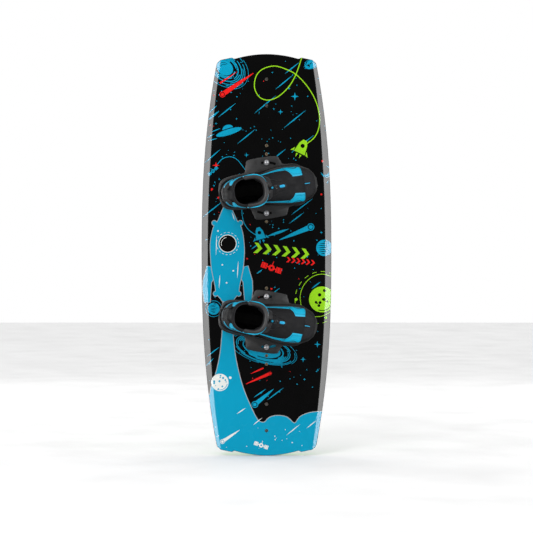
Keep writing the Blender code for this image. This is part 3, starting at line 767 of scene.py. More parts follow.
def right_planets(art):
    planet(art, "cyan", 174, 21, 24.5, 4, "stripes")
    planet(art, "lime", 167, -134, 39, 10)
    put(art, "lime", *ring_band(160, -122, 66, 1.8, 0.86, 62))
    put(art, "lime", *ring_band(160, -128, 80, 1.5, 0.9, 60, dashes=2))
    for x, y, r in ((89, -134, 4.5), (199, -74, 4), (179, -189, 4)):
        put(art, "lime", disc(x, y, r, 12))


def scattered_stars(art, seed, count, color, spans):
    """Small dots and four-pointed stars spread over an area."""
    rng = random.Random(seed)
    for _ in range(count):
        x, y = rng.uniform(*spans[0]), rng.uniform(*spans[1])
        size = rng.uniform(0.8, 1.9)
        put(art, color, star(x, y, size * 2.4) if rng.random() < 0.3 else disc(x, y, size, 6))


def deck_art():
    art = []
    scattered_stars(art, 11, 250, "cyan", ((-185, 185), (-440, 590)))
    scattered_stars(art, 12, 26, "red", ((-180, 180), (-400, 560)))
    put(art, "cyan", *(spindle(*ends, 3.4) for ends in STREAKS), spindle(*BROAD_STREAK, 8))
    for color, x, y, radius in STARS:
        put(art, color, star(x, y, radius))
    put(art, "red", *(disc(x, y, 3, 10) for x, y in RED_DOTS))
    deck_ornaments(art)
    right_planets(art)
    chevrons(art, "lime", -38, 22, 6, 31, -7)
    chevrons(art, "red", 60, -14, 6, 16, -7)
    cloud(art)
    big_rocket(art)
    return art


def insert_places():
    steps = [start + INSERT_PITCH * i for start in INSERT_STARTS for i in range(4)]
    return [-y for y in steps[::-1]] + steps


def fin_screw_holes(radius, sides):
    return [disc(0, sign * y, radius, sides) for sign in (-1, 1) for y in FIN_SCREW_YS]


def on_deck(y):
    """Directions at a point of the deck's centre line, with z along the deck's normal."""
    slope = math.atan(rocker(y + 0.5) - rocker(y - 0.5) + thickness(y + 0.5) - thickness(y - 0.5))
    place = Matrix.Translation((0, y, deck_z(0, y)))
    return BOARD @ place @ Matrix.Rotation(slope, 4, "X")


def printed_sheet(art, names, inset, holes, extra=()):
    """The board's sheet cut along a print; each triangle's mark is its ink's number less one."""
    points, triangles, covers = cut_sheet(board_outline(inset), holes, [shape for _, shape in art],
                                          board_lines(extra))
    return points, triangles, [-1 if m < 0 else names.index(art[m][0]) - 1 for m in covers]


def on_board(obj, node_name):
    """Hands over a piece of the board that stands for one CAD node."""
    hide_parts(node_name)
    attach(obj, "board")


def build_deck():
    holes = [disc(0, y, INSERT_RADIUS + GAP, 32) for y in insert_places()]
    holes += fin_screw_holes(5.3, 32)
    sheet = printed_sheet(deck_art(), DECK_INKS, 0.9, holes)
    inks = [ink(f"deck_{c}", v) for c, v in zip(DECK_INKS, (BLACK, CYAN, RED, LIME, WHITE, LINE_GREY))]

    def rim(x, y, nx, ny):
        steps = ((0.3, 0.12), (0.7, 0.45), (0.9, 0.95))
        return [world(x + nx * a, y + ny * a, deck_z(x, y) - b) for a, b in steps]

    deck = slab("deck_sheet", sheet, lambda x, y: world(x, y, deck_z(x, y)),
                lambda x, y: world(x, y, deck_z(x, y) - SKIN), inks, rim)
    set_normals(deck, len(sheet[0]), normal_on(deck_z, 1))
    on_board(deck, "top_skin")


# The base's print: green with dark blocks of sky, and their shadows

BASE_INKS = ("green", "shade1", "shade2", "shade3", "black", "red", "blue")


def rounded(x0, y0, x1, y1, radius):
    """A rectangle with round corners."""
    outline = []
    for cx, cy, start in ((x1 - radius, y1 - radius, 0), (x0 + radius, y1 - radius, 90),
                          (x0 + radius, y0 + radius, 180), (x1 - radius, y0 + radius, 270)):
        for t in np.radians(np.linspace(start, start + 90, 6)):
            outline.append((cx + radius * math.cos(t), cy + radius * math.sin(t)))
    return outline


def sky_blocks():
    """The dark blocks: plain shapes that spell nothing."""
    return (
        rounded(-143, 317, 135, 519, 16),
        rounded(-143, 192, 135, 286, 20),
        rounded(-143, 75, 135, 172, 20),
        rounded(53, 166, 135, 200, 1),
        [(-143, 39), (60, 39), (135, -30), (135, -166), (-70, -166), (-143, -98)],
        rounded(-143, -289, 135, -202, 12),
        [(-143, -304), (-40, -304), (-5, -340), (30, -304), (135, -304), (135, -513), (30, -513),
         (-5, -477), (-40, -513), (-143, -513)],
    )


def base_art():
    art = []
    blocks = sky_blocks()
    for name, spread_by in (("shade1", 15), ("shade2", 9), ("shade3", 4)):
        for block in blocks:
            put(art, name, [(x + 9, y - 9) for x, y in grown(block, spread_by)])
    put(art, "black", *blocks)
    base_margin(art)
    for seed, block in enumerate(blocks, 40):
        spans = [(min(values) + 8, max(values) - 8) for values in zip(*block)]
        area = (spans[0][1] - spans[0][0]) * (spans[1][1] - spans[1][0])
        scattered_stars(art, seed, int(area / 900), "blue", spans)
    base_ornaments(art)
    return art


def base_margin(art):
    """Black motifs and streaks on the green outside the blocks."""
    galaxy(art, "black", -148, 268, 46, 0.62, -20, 21, ground="green")
    planet(art, "black", 62, 532, 44, 22, "stripes", ground="green")
    planet(art, "black", 154, -392, 25, 23, ground="green")
    put(art, "black", *small_rocket(-166, -60, 46, 150))
    rng = random.Random(24)
    for _ in range(42):
        x, y = rng.uniform(-180, 180), rng.uniform(-560, 560)
        put(art, "black", spindle(x, y, x + 22, y + 18, 2.0))
    for _ in range(60):
        put(art, "black", disc(rng.uniform(-180, 180), rng.uniform(-570, 570), rng.uniform(0.8, 2.2), 7))


def small_rocket(x, y, width, height):
    """A small rocket standing on its fins: a hull and two fins."""
    hull = ((0, 1), (0.2, 0.82), (0.3, 0.55), (0.28, 0.25), (0.16, 0.06), (-0.16, 0.06), (-0.28, 0.25),
            (-0.3, 0.55), (-0.2, 0.82))
    fin = ((0.26, 0.3), (0.5, 0.12), (0.48, -0.06), (0.3, 0.1))
    shapes = (hull, [(-a, b) for a, b in fin], fin)
    return [[(x + a * width, y + b * height) for a, b in shape] for shape in shapes]


BASE_PLANETS = (
    (46, 393, 32, 31, "stripes"), (82, 360, 11, 32, "spots"), (155, 183, 76, 33, "stripes"),
    (61, -145, 39, 34, "stripes"), (7, -118, 9.5, 38, "spots"), (75, -222, 10, 37, "spots"),
    (121, -280, 24, 36, "spots"), (-13, -437, 36, 35, "stripes"), (80, -358, 19, 39, "spots"),
    (-30, -386, 8, 40, "spots"),
)
BLOCK_FOOTS = (317, 75, -166, -289, -513)
BLOCK_RIGHT = 135
BASE_TETHER = (
    (176, 420), (129, 344), (89, 306), (17, 272), (-31, 292), (-48, 336), (-31, 376), (-3, 396), (33, 401),
    (69, 392), (108, 365), (148, 320), (176, 264), (190, 200), (185, 140), (160, 85), (128, 65), (105, 57),
)
PLUME = (
    (-143, -206), (-137, -212), (-139, -220), (-126, -233), (-98, -241), (-33, -244.5), (-33, -249.5),
    (-98, -253), (-126, -261), (-139, -274), (-137, -282), (-143, -287),
)
THIN_TETHERS = (
    ((-79, 232), (-52, 252), (-17, 250), (15, 218), (21, 196)),
    ((45, 282), (45, 267), (7, 236), (-14, 212), (-17, 196)),
)
BASE_STREAKS = (
    (-101, 377, -65, 330), (-40, 140, -14, 104), (53, 132, 87, 87), (19, 30, 48, -6), (67, 14, 95, -22),
    (-89, -112, -50, -164), (-1, -205, 17, -226), (33, -217, 61, -253), (-117, -312, -79, -362),
    (59, -459, 98, -508), (-123, -459, -101, -490), (88, 470, 118, 432),
)


def base_ornaments(art):
    for x, y, radius, seed, marks in BASE_PLANETS:
        whole = []
        planet(whole, "blue", x, y, radius, seed, marks)
        put_within(art, whole, max(foot for foot in BLOCK_FOOTS if foot < y), BLOCK_RIGHT)
    put(art, "black", half_disc(46, 396, 28), half_disc(80, -358, 16.5))
    put(art, "blue", PLUME, *(laid(s, (-33, -247)) for s in small_rocket(0, 0, 28, 56)))
    put(art, "black", disc(0, -247, 4, 14))
    put(art, "red", rounded(-190, 6, -55, 142, 24))
    put(art, "black", rounded(-182, 14, -63, 134, 18))
    chevrons(art, "red", -164, 74, 2, 48, 0)
    put(art, "red", *band(curve_through(BASE_TETHER, 4), 3.2))
    for knots in THIN_TETHERS:
        put(art, "blue", *band(curve_through(knots, 5), 1.3))
    probe(art, "blue", -86, 226, 24, 60)
    probe(art, "red", 104, 34, 58, 20)
    satellite(art, "blue", -7, 115, 36, -55)
    satellite(art, "red", -93, 420, 60, 20)
    satellite(art, "red", -88, -406, 80, 23)
    for k, tip in enumerate(((-23, -18), (-17, 0), (1, 2))):
        put(art, "blue", spindle(10 + 4 * k, -43, *tip, 3))
    put(art, "blue", disc(17, -47, 11), *(spindle(*ends, 3) for ends in BASE_STREAKS))


def half_disc(x, y, radius):
    """The upper half of a disc."""
    return [(x + radius * math.cos(t), y + radius * math.sin(t)) for t in np.linspace(0, math.pi, 20)]


def put_within(art, shapes, low, right):
    """Puts shapes down, cut short below one level and past another on the right."""
    for color, shape in shapes:
        if min(x for x, _ in shape) < right - 1 and max(y for _, y in shape) > low + 1:
            put(art, color, [(min(x, right), max(y, low)) for x, y in shape])


def laid(outline, at):
    """An upright motif laid on its right side at a point."""
    return [(at[0] + y, at[1] - x) for x, y in outline]


def build_base():
    """The base, with the board's sides and the tub that holds the core."""
    art = [(color, [(-x, y) for x, y in shape]) for color, shape in base_art()]
    sheet = printed_sheet(art, BASE_INKS, RAIL_WALL, fin_screw_holes(2.8, 24), CHANNEL)
    steps = [tuple(g * (1 - f) + s * f for g, s in zip(GREEN, SHADE)) for f in (0.3, 0.65, 1.0)]
    colours = (GREEN, *steps, BLACK, RED, BLUE)
    inks = [ink(f"base_{c}", v) for c, v in zip(BASE_INKS, colours)]
    inks.append(finish_of("sidewall", (0.004, 0.004, 0.005), 0.3, coat=0.5))

    def rim(x, y, nx, ny):
        low, high = base_z(x, y), deck_z(x, y) - SKIN - GAP
        up = high - low
        rows = [(1.2, 0.5), (1.6, 1.3), (RAIL_WALL, 2.4), (RAIL_WALL, up * 0.5), (RAIL_WALL, up - 1.0),
                (1.6, up), (0.1, up)]
        return [world(x + nx * a, y + ny * a, low + b) for a, b in rows]

    base = slab("base_tub", sheet, lambda x, y: world(x, y, base_z(x, y)),
                lambda x, y: world(x, y, base_z(x, y) + BASE_SKIN), inks, rim, len(inks) - 1, flip=True)
    set_normals(base, len(sheet[0]), normal_on(base_z, -1))
    on_board(base, "base_skin")


# Boot surfaces: the CAD model's sections, drawn as smooth skins

SECTION_POWER = 0.8
SHELL = 4.5
SEAM_RADIUS = 1.0
LINER_OUT = 4.9
LINER_IN = 8.2
TONGUE_IN = 12.0
TOE_SHIFT = 5.0
TOP_W = 217.0
STEP = 22.0  # the unrolled skin's length for one section
GIRTH = 150.0  # its width from the front line to the back line
SECTIONS = (
    ((97, 22), (114, 88), 50),
    ((60, 20), (72, 104), 52),
    ((20, 20), (29, 125), 47),
    ((-25, 20), (9, 141), 42),
    ((-75, 20), (6, 149), 40),
    ((-122, 24), (4, 158), 41),
    ((-134, 62), (3, 168), 42),
    ((-132, 104), (2.5, 180), 43),
    ((-124, 146), (2, 192), 44),
    ((-116, 182), (2, 204), 45),
    ((-101, TOP_W), (2, TOP_W), 46),
)
TONGUE_TOP = 246
TONGUE_SECTIONS = (*SECTIONS[2:], ((-87, TONGUE_TOP), (5, TONGUE_TOP), 47))
TOE_SECTIONS = (
    ((149.5, 39), (149.5, 42), 2), ((149, 37), (148.5, 45), 9), ((147, 34), (145, 48), 16),
    ((140, 27), (136, 62), 30), ((122, 25), (124, 76), 40),
)
LINER_SECTIONS = (*TOE_SECTIONS, *SECTIONS)
THROAT = (
    (-43, 280), (-43, 217.6), (-36.5, 216.2), (-31, 212.8), (-27.4, 207.6), (-26, 200), (-26, 162),
    (8, 141.5), (60, 170), (60, 280),
)
TONGUE_REGION = (
    (-62, 218.4), (-42.6, 218.4), (-36.1, 217), (-30.5, 213.4), (-26.8, 208), (-25.4, 200.2),
    (-25.4, 162.6), (8.3, 142.3), (60, 171), (60, 262), (-62, 262),
)
HEEL_SEAM = ((-160, 107), (-89.5, 99.7), (-40.2, 56.5), (-15, 34.6), (-12, 0))
VAMP_SEAM = ((32, 150), (19, 133), (-38.4, 104.4), (-40.2, 56.5))
CUFF_SEAM = ((-92, 100), (-43, 148.5), (-45, 153), (-43, 195), (-64, 210), (-66, 280))
SOLE = (
    (-137, 14, 8.3, 34), (-130, 30, 8.3, 34), (-115, 40, 8.3, 34), (-85, 45, 8.3, 33),
    (-40, 46, 8.3, 29), (0, 50, 8.3, 26), (40, 56, 8.3, 25), (80, 58, 8.3, 26),
    (110, 54, 9.0, 37), (132, 43, 14, 46), (146, 26, 21, 48), (152, 10, 28, 44),
)
FRAME_OUTLINE = (
    (-143, 16), (-136, 36), (-118, 47), (-84, 52), (-58, 54), (-50, 76), (-38, 90),
    (38, 90), (50, 80), (60, 64), (92, 62), (112, 50), (117, 20),
)
WALL_HEIGHTS = ((-137, 38), (-71, 48), (-13, 34), (40, 20), (104, 13))

# Coloured panels of the upper, seen from the side
CUFF_PANEL = ((-98, 212), (-69, 212), (-65, 206), (-50, 196), (-49, 158), (-56, 150), (-74, 167),
              (-105, 177), (-104, 200))
CUFF_WINDOW = ((-91, 199), (-67, 199), (-63, 194), (-64, 183), (-69, 179), (-88, 180), (-94, 184),
               (-94, 195))
ANKLE_BAND = ((-121, 138), (-77, 126), (-90, 112), (-125, 124))
VAMP_BAND = ((-27, 110), (20, 100), (62, 90), (48, 74), (6, 83), (-35, 94))
TOE_PANEL = ((64, 90), (82, 97), (111, 86), (107, 60), (98, 33), (93, 27), (71, 36), (50, 72))
EMBLEM = ((84, 62), 15.5)
ANKLE_STRAP = ((-93, 103), (-84, 95), (-60, 115), (-35, 139), (-45, 149), (-69, 129))
STRAP_TAB = ((-50, 141), (-41, 132), (-34, 139), (-44, 149))
PANEL_CYAN = (0.0, 0.42, 0.66)


def shifted(x):
    """Sideways shift of the foot's centre line, towards the big toe."""
    return -TOE_SHIFT * eased(min(1.0, max(0.0, (x - 20) / 110)))


def section_at(sections, place):
    """The section at a place along the list, on a smooth curve through it."""
    rows = [np.array((*b, *f, h), float) for b, f, h in sections]
    i = min(max(int(place), 0), len(rows) - 2)
    return spline(rows[max(i - 1, 0)], rows[i], rows[i + 1], rows[min(i + 2, len(rows) - 1)], place - i)


def skin_point(sections, place, angle, inset=0.0):
    """A point of the skin; angle 0 is the front line, and positive angles lie at +v."""
    bx, bz, fx, fz, half = section_at(sections, place)
    length = math.hypot(fx - bx, fz - bz)
    reach = length / 2 - inset
    c, s = math.cos(angle), math.sin(angle)
    c = math.copysign(abs(c) ** SECTION_POWER, c)
    s = math.copysign(abs(s) ** SECTION_POWER, s)
    x = (bx + fx) / 2 + (fx - bx) / length * reach * c
    z = (bz + fz) / 2 + (fz - bz) / length * reach * c
    return (x, (half - inset) * s + shifted(x), z)


def locate(sections, u, w):
    """The place and angle of the skin point seen at (u, w) from the side."""
    low, high = 0.0, len(sections) - 1.0

    def ahead(place):
        bx, bz, fx, fz, _ = section_at(sections, place)
        return (fx - bx) * (w - bz) - (fz - bz) * (u - bx)

    for _ in range(24):
        middle = (low + high) / 2
        if ahead(middle) > 0:
            low = middle
        else:
            high = middle
    bx, bz, fx, fz, _ = section_at(sections, low)
    length = math.hypot(fx - bx, fz - bz)
    c = 2 * ((u - bx) * (fx - bx) + (w - bz) * (fz - bz)) / length**2 - 1
    c = max(-1.0, min(1.0, c))
    return low, math.acos(math.copysign(abs(c) ** (1 / SECTION_POWER), c))


def dense(line, step=3.0, closed=False):
    """The same line with points at most step apart."""
    ends = [*line, line[0]] if closed else list(line)
    made = []
    for a, b in zip(ends, ends[1:]):
        count = max(1, math.ceil(math.dist(a, b) / step))
        made += [tuple(np.array(a) + (np.array(b) - np.array(a)) * k / count) for k in range(count)]
    return made if closed else [*made, tuple(map(float, ends[-1]))]


def both_sides(line, *middle):
    """A line, what lies between, and the line's mirror image on its way back."""
    return [*line, *middle, *((x, -v) for x, v in line[::-1])]


def beside(line, step):
    """A line moved by step to its left."""
    moved = []
    for i, p in enumerate(line):
        a, b = line[max(0, i - 1)], line[min(len(line) - 1, i + 1)]
        way = Vector((a[1] - b[1], b[0] - a[0])).normalized()
        moved.append((p[0] + way.x * step, p[1] + way.y * step))
    return moved


def unrolled(sections, line):
    """A side-view line on the unrolled half skin."""
    return [(place * STEP, angle / math.pi * GIRTH)
            for place, angle in (locate(sections, *p) for p in line)]


def distance(line, p):
    """Distance from a point to a line, both seen from the side."""
    a, b = np.array(line[:-1], float), np.array(line[1:], float)
    way = b - a
    t = np.clip(((np.array(p) - a) * way).sum(1) / np.maximum((way * way).sum(1), 1e-9), 0, 1)
    return float(np.sqrt(((a + way * t[:, None] - np.array(p)) ** 2).sum(1)).min())


def inside(outline, p):
    """Whether a point is in an outline."""
    crossed = False
    for (x0, y0), (x1, y1) in zip(outline, [*outline[1:], outline[0]]):
        if (y0 > p[1]) != (y1 > p[1]) and p[0] < (x1 - x0) * (p[1] - y0) / (y1 - y0) + x0:
            crossed = not crossed
    return crossed


def rounding(gap, radius):
    """How far a rounded edge of that radius is drawn in at a distance from its border."""
    left = radius - min(gap, radius)
    return radius - math.sqrt(max(0.0, radius * radius - left * left))


def half_sheet(sections, prints, lines):
    """The unrolled half skin, cut along prints and lines that are drawn from the side."""
    top = (len(sections) - 1) * STEP
    outline = dense([(0, 0), (top, 0), (top, GIRTH), (0, GIRTH)], 3.0, True)
    grid = [[(x, 0), (x, GIRTH)] for x in np.arange(3, top - 1, 3.4)]
    grid += [[(0, y), (top, y)] for y in np.linspace(0, GIRTH, 34)[1:-1]]
    shapes = [unrolled(sections, dense(p, 3.0, True)) for p in prints]
    return cut_sheet(outline, (), shapes, grid + [unrolled(sections, dense(l)) for l in lines])


def whole_skin(sheet, keep, sections):
    """Both halves of the kept triangles, as (place, angle) points; keep is asked about side-view points."""
    points, triangles, marks = sheet
    spots = [(x / STEP, y / GIRTH * math.pi) for x, y in points]
    seen = [skin_point(sections, *s) for s in spots]
    picked = []
    for triangle, mark in zip(triangles, marks):
        middle = np.mean([(seen[v][0], seen[v][2]) for v in triangle], axis=0)
        if keep(middle):
            picked.append((triangle, mark))
    used = sorted({v for t, _ in picked for v in t})
    number = {v: i for i, v in enumerate(used)}
    made = [spots[v] for v in used]
    twin = {}
    for v in used:
        if min(spots[v][1], math.pi - spots[v][1]) < 1e-6:
            twin[v] = number[v]
        else:
            twin[v] = len(made)
            made.append((spots[v][0], -spots[v][1]))
    faces = [tuple(number[v] for v in t) for t, _ in picked]
    faces += [tuple(twin[v] for v in t[::-1]) for t, _ in picked]
    return made, faces, [m for _, m in picked] * 2


def unwrap(obj, coordinates):
    """Gives the mesh a UV layer from its vertices' coordinates in mm; the rest stay at nought."""
    layer = obj.data.uv_layers.new(name="UVMap")
    for loop in obj.data.loops:
        at = loop.vertex_index
        if at < len(coordinates):
            layer.data[loop.index].uv = (coordinates[at][0] * MM, coordinates[at][1] * MM)


def skin_piece(name, sheet, keep, sections, inner, materials, rims_at, seams=(), raised=(),
               rim_radius=2.2, taper=None):
    """A piece of a boot's skin from its outside to inner, with rounded seams, rims and raised panels."""
    whole = whole_skin(sheet, keep, sections)
    draws = {}

    def drawn(place, angle):
        """How far the outside is drawn in at a point, and how far its rim is."""
        key = (round(place, 5), round(abs(angle), 5))
        if key not in draws:
            x, _, z = skin_point(sections, place, angle)
            at = (x, z)
            seam = max([rounding(distance(line, at), SEAM_RADIUS) for line in seams], default=0.0)
            rim = max([rounding(distance(line, at), rim_radius) for line in rims_at], default=0.0)
            lift = 0.0
            for outline, height, soft in raised:
                if inside(outline, at):
                    gap = distance([*outline, outline[0]], at)
                    lift = max(lift, height * (1 - (1 - min(gap / soft, 1.0)) ** 2))
            draws[key] = (max(seam, rim) - lift, rim)
        return draws[key]

    def point(place, angle, inset):
        return skin_point(sections, place, angle, inset + (taper(place) if taper else 0.0))

    piece = slab(name, whole, lambda p, a: point(p, a, drawn(p, a)[0]),
                 lambda p, a: point(p, a, inner - drawn(p, a)[1]), materials, flip=True)
    girths = [(angle / math.pi * GIRTH, place * STEP * 1.6) for place, angle in whole[0]]
    unwrap(piece, girths * 2)
    return piece


def foot_matrix(side):
    """Boot directions on the board; the right boot, side -1, is mirrored."""
    turn = Matrix.Rotation(side * BOOT_YAW, 4, "Z") @ Matrix.Diagonal((1, side, 1, 1))
    return on_deck(side * BOOT_Y) @ turn


def pair(obj, body, nodes, bend=None):
    """Makes the left and the right boot's piece from one that is drawn in boot directions."""
    name = obj.name
    twin = linked(name, obj.data.copy())
    for prefix, side, piece in (("left", 1, obj), ("right", -1, twin)):
        matrix = foot_matrix(side)
        piece.name = f"{prefix}_{name}"
        placed(piece, matrix)
        if side < 0:
            piece.data.flip_normals()
        if nodes:
            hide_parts(*(f"{prefix}_{n}" for n in nodes))
        if bend:
            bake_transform(piece)
        else:
            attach(piece, f"{prefix}_{body}")


def boot_materials():
    return {
        "textile": woven("boot_textile", (0.01, 0.01, 0.012), 0.75, pitch=0.0016, specular=0.25),
        "leather": grained("boot_leather", (0.022, 0.022, 0.024), 0.5, scale=850, depth=0.2, specular=0.5),
        "panel": grained("cyan_panel", PANEL_CYAN, 0.45, scale=1100, depth=0.25, vary=0.08, specular=0.2),
        "mesh": woven("liner_mesh", (0.02, 0.02, 0.023), 0.85, pitch=0.0022, depth=0.9, specular=0.25),
        "rubber": grained("rubber", (0.017, 0.017, 0.018), 0.6, scale=700, depth=0.3, specular=0.4),
        "nylon": grained("frame_nylon", (0.016, 0.016, 0.017), 0.42, scale=1500, depth=0.2),
        "thread": finish_of("thread", (0.06, 0.06, 0.065), 0.6, grain=800),
        "cyan_thread": finish_of("cyan_thread", (0.0, 0.11, 0.19), 0.6, grain=800),
        "piping": finish_of("piping", (0.05, 0.052, 0.056), 0.5, grain=500),
        "webbing": woven("webbing", (0.02, 0.02, 0.022), 0.7, pitch=0.0014, depth=0.9),
        "loop": woven("loop_webbing", (0.16, 0.15, 0.18), 0.7, pitch=0.0013, depth=0.9),
        "lace": woven("lace_braid", (0.014, 0.014, 0.015), 0.65, pitch=0.0012, depth=1.0),
        "lock": grained("lock_nylon", (0.016, 0.016, 0.017), 0.38, scale=1800, depth=0.2),
        "tip": grained("cyan_plastic", PANEL_CYAN, 0.35, scale=1800, depth=0.15, vary=0.05, specular=0.3),
    }


def side_line(line, lift, hand, sections=SECTIONS):
    """Points of a side-view line on the skin, lifted off it."""
    spots = [locate(sections, u, w) for u, w in line]
    return [skin_point(sections, place, hand * angle, -lift) for place, angle in spots]


def within(line, margin=0.03):
    """The part of a side-view line that lies on the skin's side."""
    kept = []
    for u, w in line:
        bx, bz, fx, fz, _ = section_at(SECTIONS, locate(SECTIONS, u, w)[0])
        share = ((u - bx) * (fx - bx) + (w - bz) * (fz - bz)) / ((fx - bx) ** 2 + (fz - bz) ** 2)
        if margin < share < 1 - margin:
            kept.append((u, w))
    return kept


def tube_rings(route, radius, sides):
    """Rings round a route, carried along without twist; radius may change with the share of it."""
    points = [Vector(p) for p in route]
    normal = None
    rings = []
    for i, p in enumerate(points):
        way = (points[min(i + 1, len(points) - 1)] - points[max(i - 1, 0)]).normalized()
        normal = way.orthogonal().normalized() if normal is None else (normal - way * normal.dot(way))
        normal.normalize()
        across = way.cross(normal)
        r = radius if not callable(radius) else radius(i / (len(points) - 1))
        rings.append([p + normal * (r * math.cos(t)) + across * (r * math.sin(t))
                      for t in circle_angles(sides)])
    return rings


def merged(name, parts, materials, ends_meet=False):
    """One mesh from several skins over rings, each with its material number.

    A skin's two ends are closed, or meet each other.
    """
    points, faces, marks = [], [], []
    for rings, mark in parts:
        count, start = len(rings[0]), len(points)
        points += [p for ring in rings for p in ring]
        for i in range(len(rings) - 1 + ends_meet):
            a, b = start + i * count, start + (i + 1) % len(rings) * count
            for k in range(count):
                j = (k + 1) % count
                faces.append((a + k, a + j, b + j, b + k))
        if not ends_meet:
            faces.append(tuple(range(start, start + count))[::-1])
            faces.append(tuple(range(len(points) - count, len(points))))
        marks += [mark] * (len(faces) - len(marks))
    return mesh_object(name, points, faces, materials, marks)


def ringed(name, rings, finish):
    """One closed skin over rings, in one of the boots' materials."""
    return merged(name, [(rings, 0)], [MATERIALS[finish]])


def stitches(line, lift, hand, pitch=3.6, length=2.5):
    """Short raised threads along a side-view line."""
    spots = dense(line, 0.5)
    made = []
    per, long = int(pitch / 0.5), int(length / 0.5)
    for start in range(0, len(spots) - long, per):
        ends = (spots[start], spots[start + long // 2], spots[start + long])
        a, b, c = (Vector(p) for p in side_line(ends, lift, hand))
        away = Vector((0, math.copysign(0.12, b.y - shifted(b.x)), 0))
        path = [a - away, a.lerp(b, 0.3), b + away, c.lerp(b, 0.3), c - away]
        made.append(tube_rings(path, THREAD_RADIUS, 5))
    return made


# Boot pieces

THREAD_RADIUS = 0.34
TOP_RIM = ((-140, TOP_W), (40, TOP_W))
TOE_RIM = ((97, 22), (114, 88))
HEEL_LOOP_LEVELS = (185, 190, 196, 202, 207)
MATERIALS = {}


def seam_lines():
    return {name: curve_through(seam, 4)
            for name, seam in (("heel", HEEL_SEAM), ("vamp", VAMP_SEAM), ("cuff", CUFF_SEAM))}


def upper_regions(seams):
    """The four pieces of the upper, as tests of a side-view point."""
    heel = [*seams["heel"], (-160, 0)]
    front = [*seams["vamp"], (-40.2, -10), (200, -10), (200, 150)]
    back = [*seams["cuff"], (-160, 280), (-160, 60)]

    def free(p):
        return not inside(THROAT, p)

    return {
        "heel_counter": lambda p: free(p) and inside(heel, p),
        "vamp": lambda p: free(p) and inside(front, p) and not inside(heel, p),
        "cuff": lambda p: free(p) and inside(back, p) and not inside(heel, p) and not inside(front, p),
        "quarter": lambda p: free(p) and not any(inside(r, p) for r in (heel, front, back)),
    }


def emblem_outline(scale=1.0):
    (u, w), radius = EMBLEM
    return [(u + 0.9 * radius * scale * math.cos(t), w + 1.15 * radius * scale * math.sin(t))
            for t in np.linspace(0, 2 * math.pi, 25)[:-1]]


def upper_prints():
    """The upper's coloured areas, in painter's order, with their materials."""
    star_outline = [(EMBLEM[0][0] + x, EMBLEM[0][1] + y) for x, y in star(0, 0, 10, 5, 0.45)]
    return (
        (ANKLE_STRAP, "leather"), (CUFF_PANEL, "panel"), (CUFF_WINDOW, "textile"), (ANKLE_BAND, "panel"),
        (VAMP_BAND, "panel"), (TOE_PANEL, "panel"), (emblem_outline(), "leather"),
        (emblem_outline(0.8), "panel"), (star_outline, "leather"),
    )


def rows_under(rim, steps):
    """Level lines a little below a rim."""
    return [[(u, w - step) for u, w in rim] for step in steps]


def build_upper():
    seams = seam_lines()
    prints = upper_prints()
    lines = [THROAT[1:-1]] + [beside(THROAT, -d) for d in (0.7, 1.6)]
    for line in seams.values():
        lines += [beside(line, d) for d in (-1.2, -0.5, 0, 0.5, 1.2)]
    for shape, _ in prints[:6]:
        lines.append(dense(grown(shape, -1.1), 3.0, True))
    lines += [dense(grown(ANKLE_STRAP, -2.4), 3.0, True), dense(STRAP_TAB, 3.0, True)]
    lines += rows_under(TOP_RIM, (0.5, 1.2, 2.2))
    sheet = half_sheet(SECTIONS, [p[0] for p in prints], lines)
    raised = [(ANKLE_STRAP, 2.8, 3.0), (STRAP_TAB, 3.8, 0.8), (TOE_PANEL, 0.9, 1.2)]
    raised += [(panel, 0.8, 1.2) for panel in (CUFF_PANEL, ANKLE_BAND, VAMP_BAND)]
    for name, keep in upper_regions(seams).items():
        ground = "leather" if name in ("heel_counter", "quarter") else "textile"
        kinds = [MATERIALS[ground]] + [MATERIALS[k] for _, k in prints]
        piece = skin_piece(name + "_skin", sheet, keep, SECTIONS, SHELL, kinds, (THROAT, TOP_RIM, TOE_RIM),
                           list(seams.values()), raised)
        pair(piece, "binding", (name,))


def build_tongue():
    """The padded tongue, with piping round its free edge."""
    edge = TONGUE_REGION[:8]
    top = ((-100, TONGUE_TOP), (30, TONGUE_TOP))
    lines = [beside(dense(edge, 6), d) for d in (0.6, 1.6, 3.2, 5.0)] + [edge]
    lines += rows_under(top, (0.6, 1.6, 3.0, 4.8))
    lines += [[(-62, 218), (-62, 250)], [(-61, 218), (-61, 250)], [(-59, 218), (-59, 250)]]
    collar = [(-61, 240), (30, 240), (30, 234), (-61, 224)]
    sheet = half_sheet(TONGUE_SECTIONS, [], lines)
    piece = skin_piece("tongue_pad", sheet, lambda p: inside(TONGUE_REGION, p), TONGUE_SECTIONS, TONGUE_IN,
                       [MATERIALS["leather"]], (edge, top, ((-62, 218.4), (-62, 262))),
                       raised=[([(-20, 168), (2, 156), (3, 236), (-20, 232)], 1.6, 7.0),
                               (collar, 1.2, 3.0)], rim_radius=5.5)
    pair(piece, "tongue", ("tongue",))
    parts = []
    for hand in (-1, 1):
        line = curve_through([(-61.5, 221), (-59, 234), (-50, 241), (-34, 244), (-16, 243), (5, 237)], 6)
        parts.append((tube_rings(side_line(line, -0.2, hand, TONGUE_SECTIONS), 1.5, 8), 0))
    pair(merged("tongue_piping", parts, [MATERIALS["panel"]]), "tongue", ())


def liner_taper(place):
    """How far the liner is drawn in: nothing at its toe, and LINER_OUT inside the upper."""
    return LINER_OUT * min(1.0, max(0.0, place - (len(TOE_SECTIONS) - 1)))


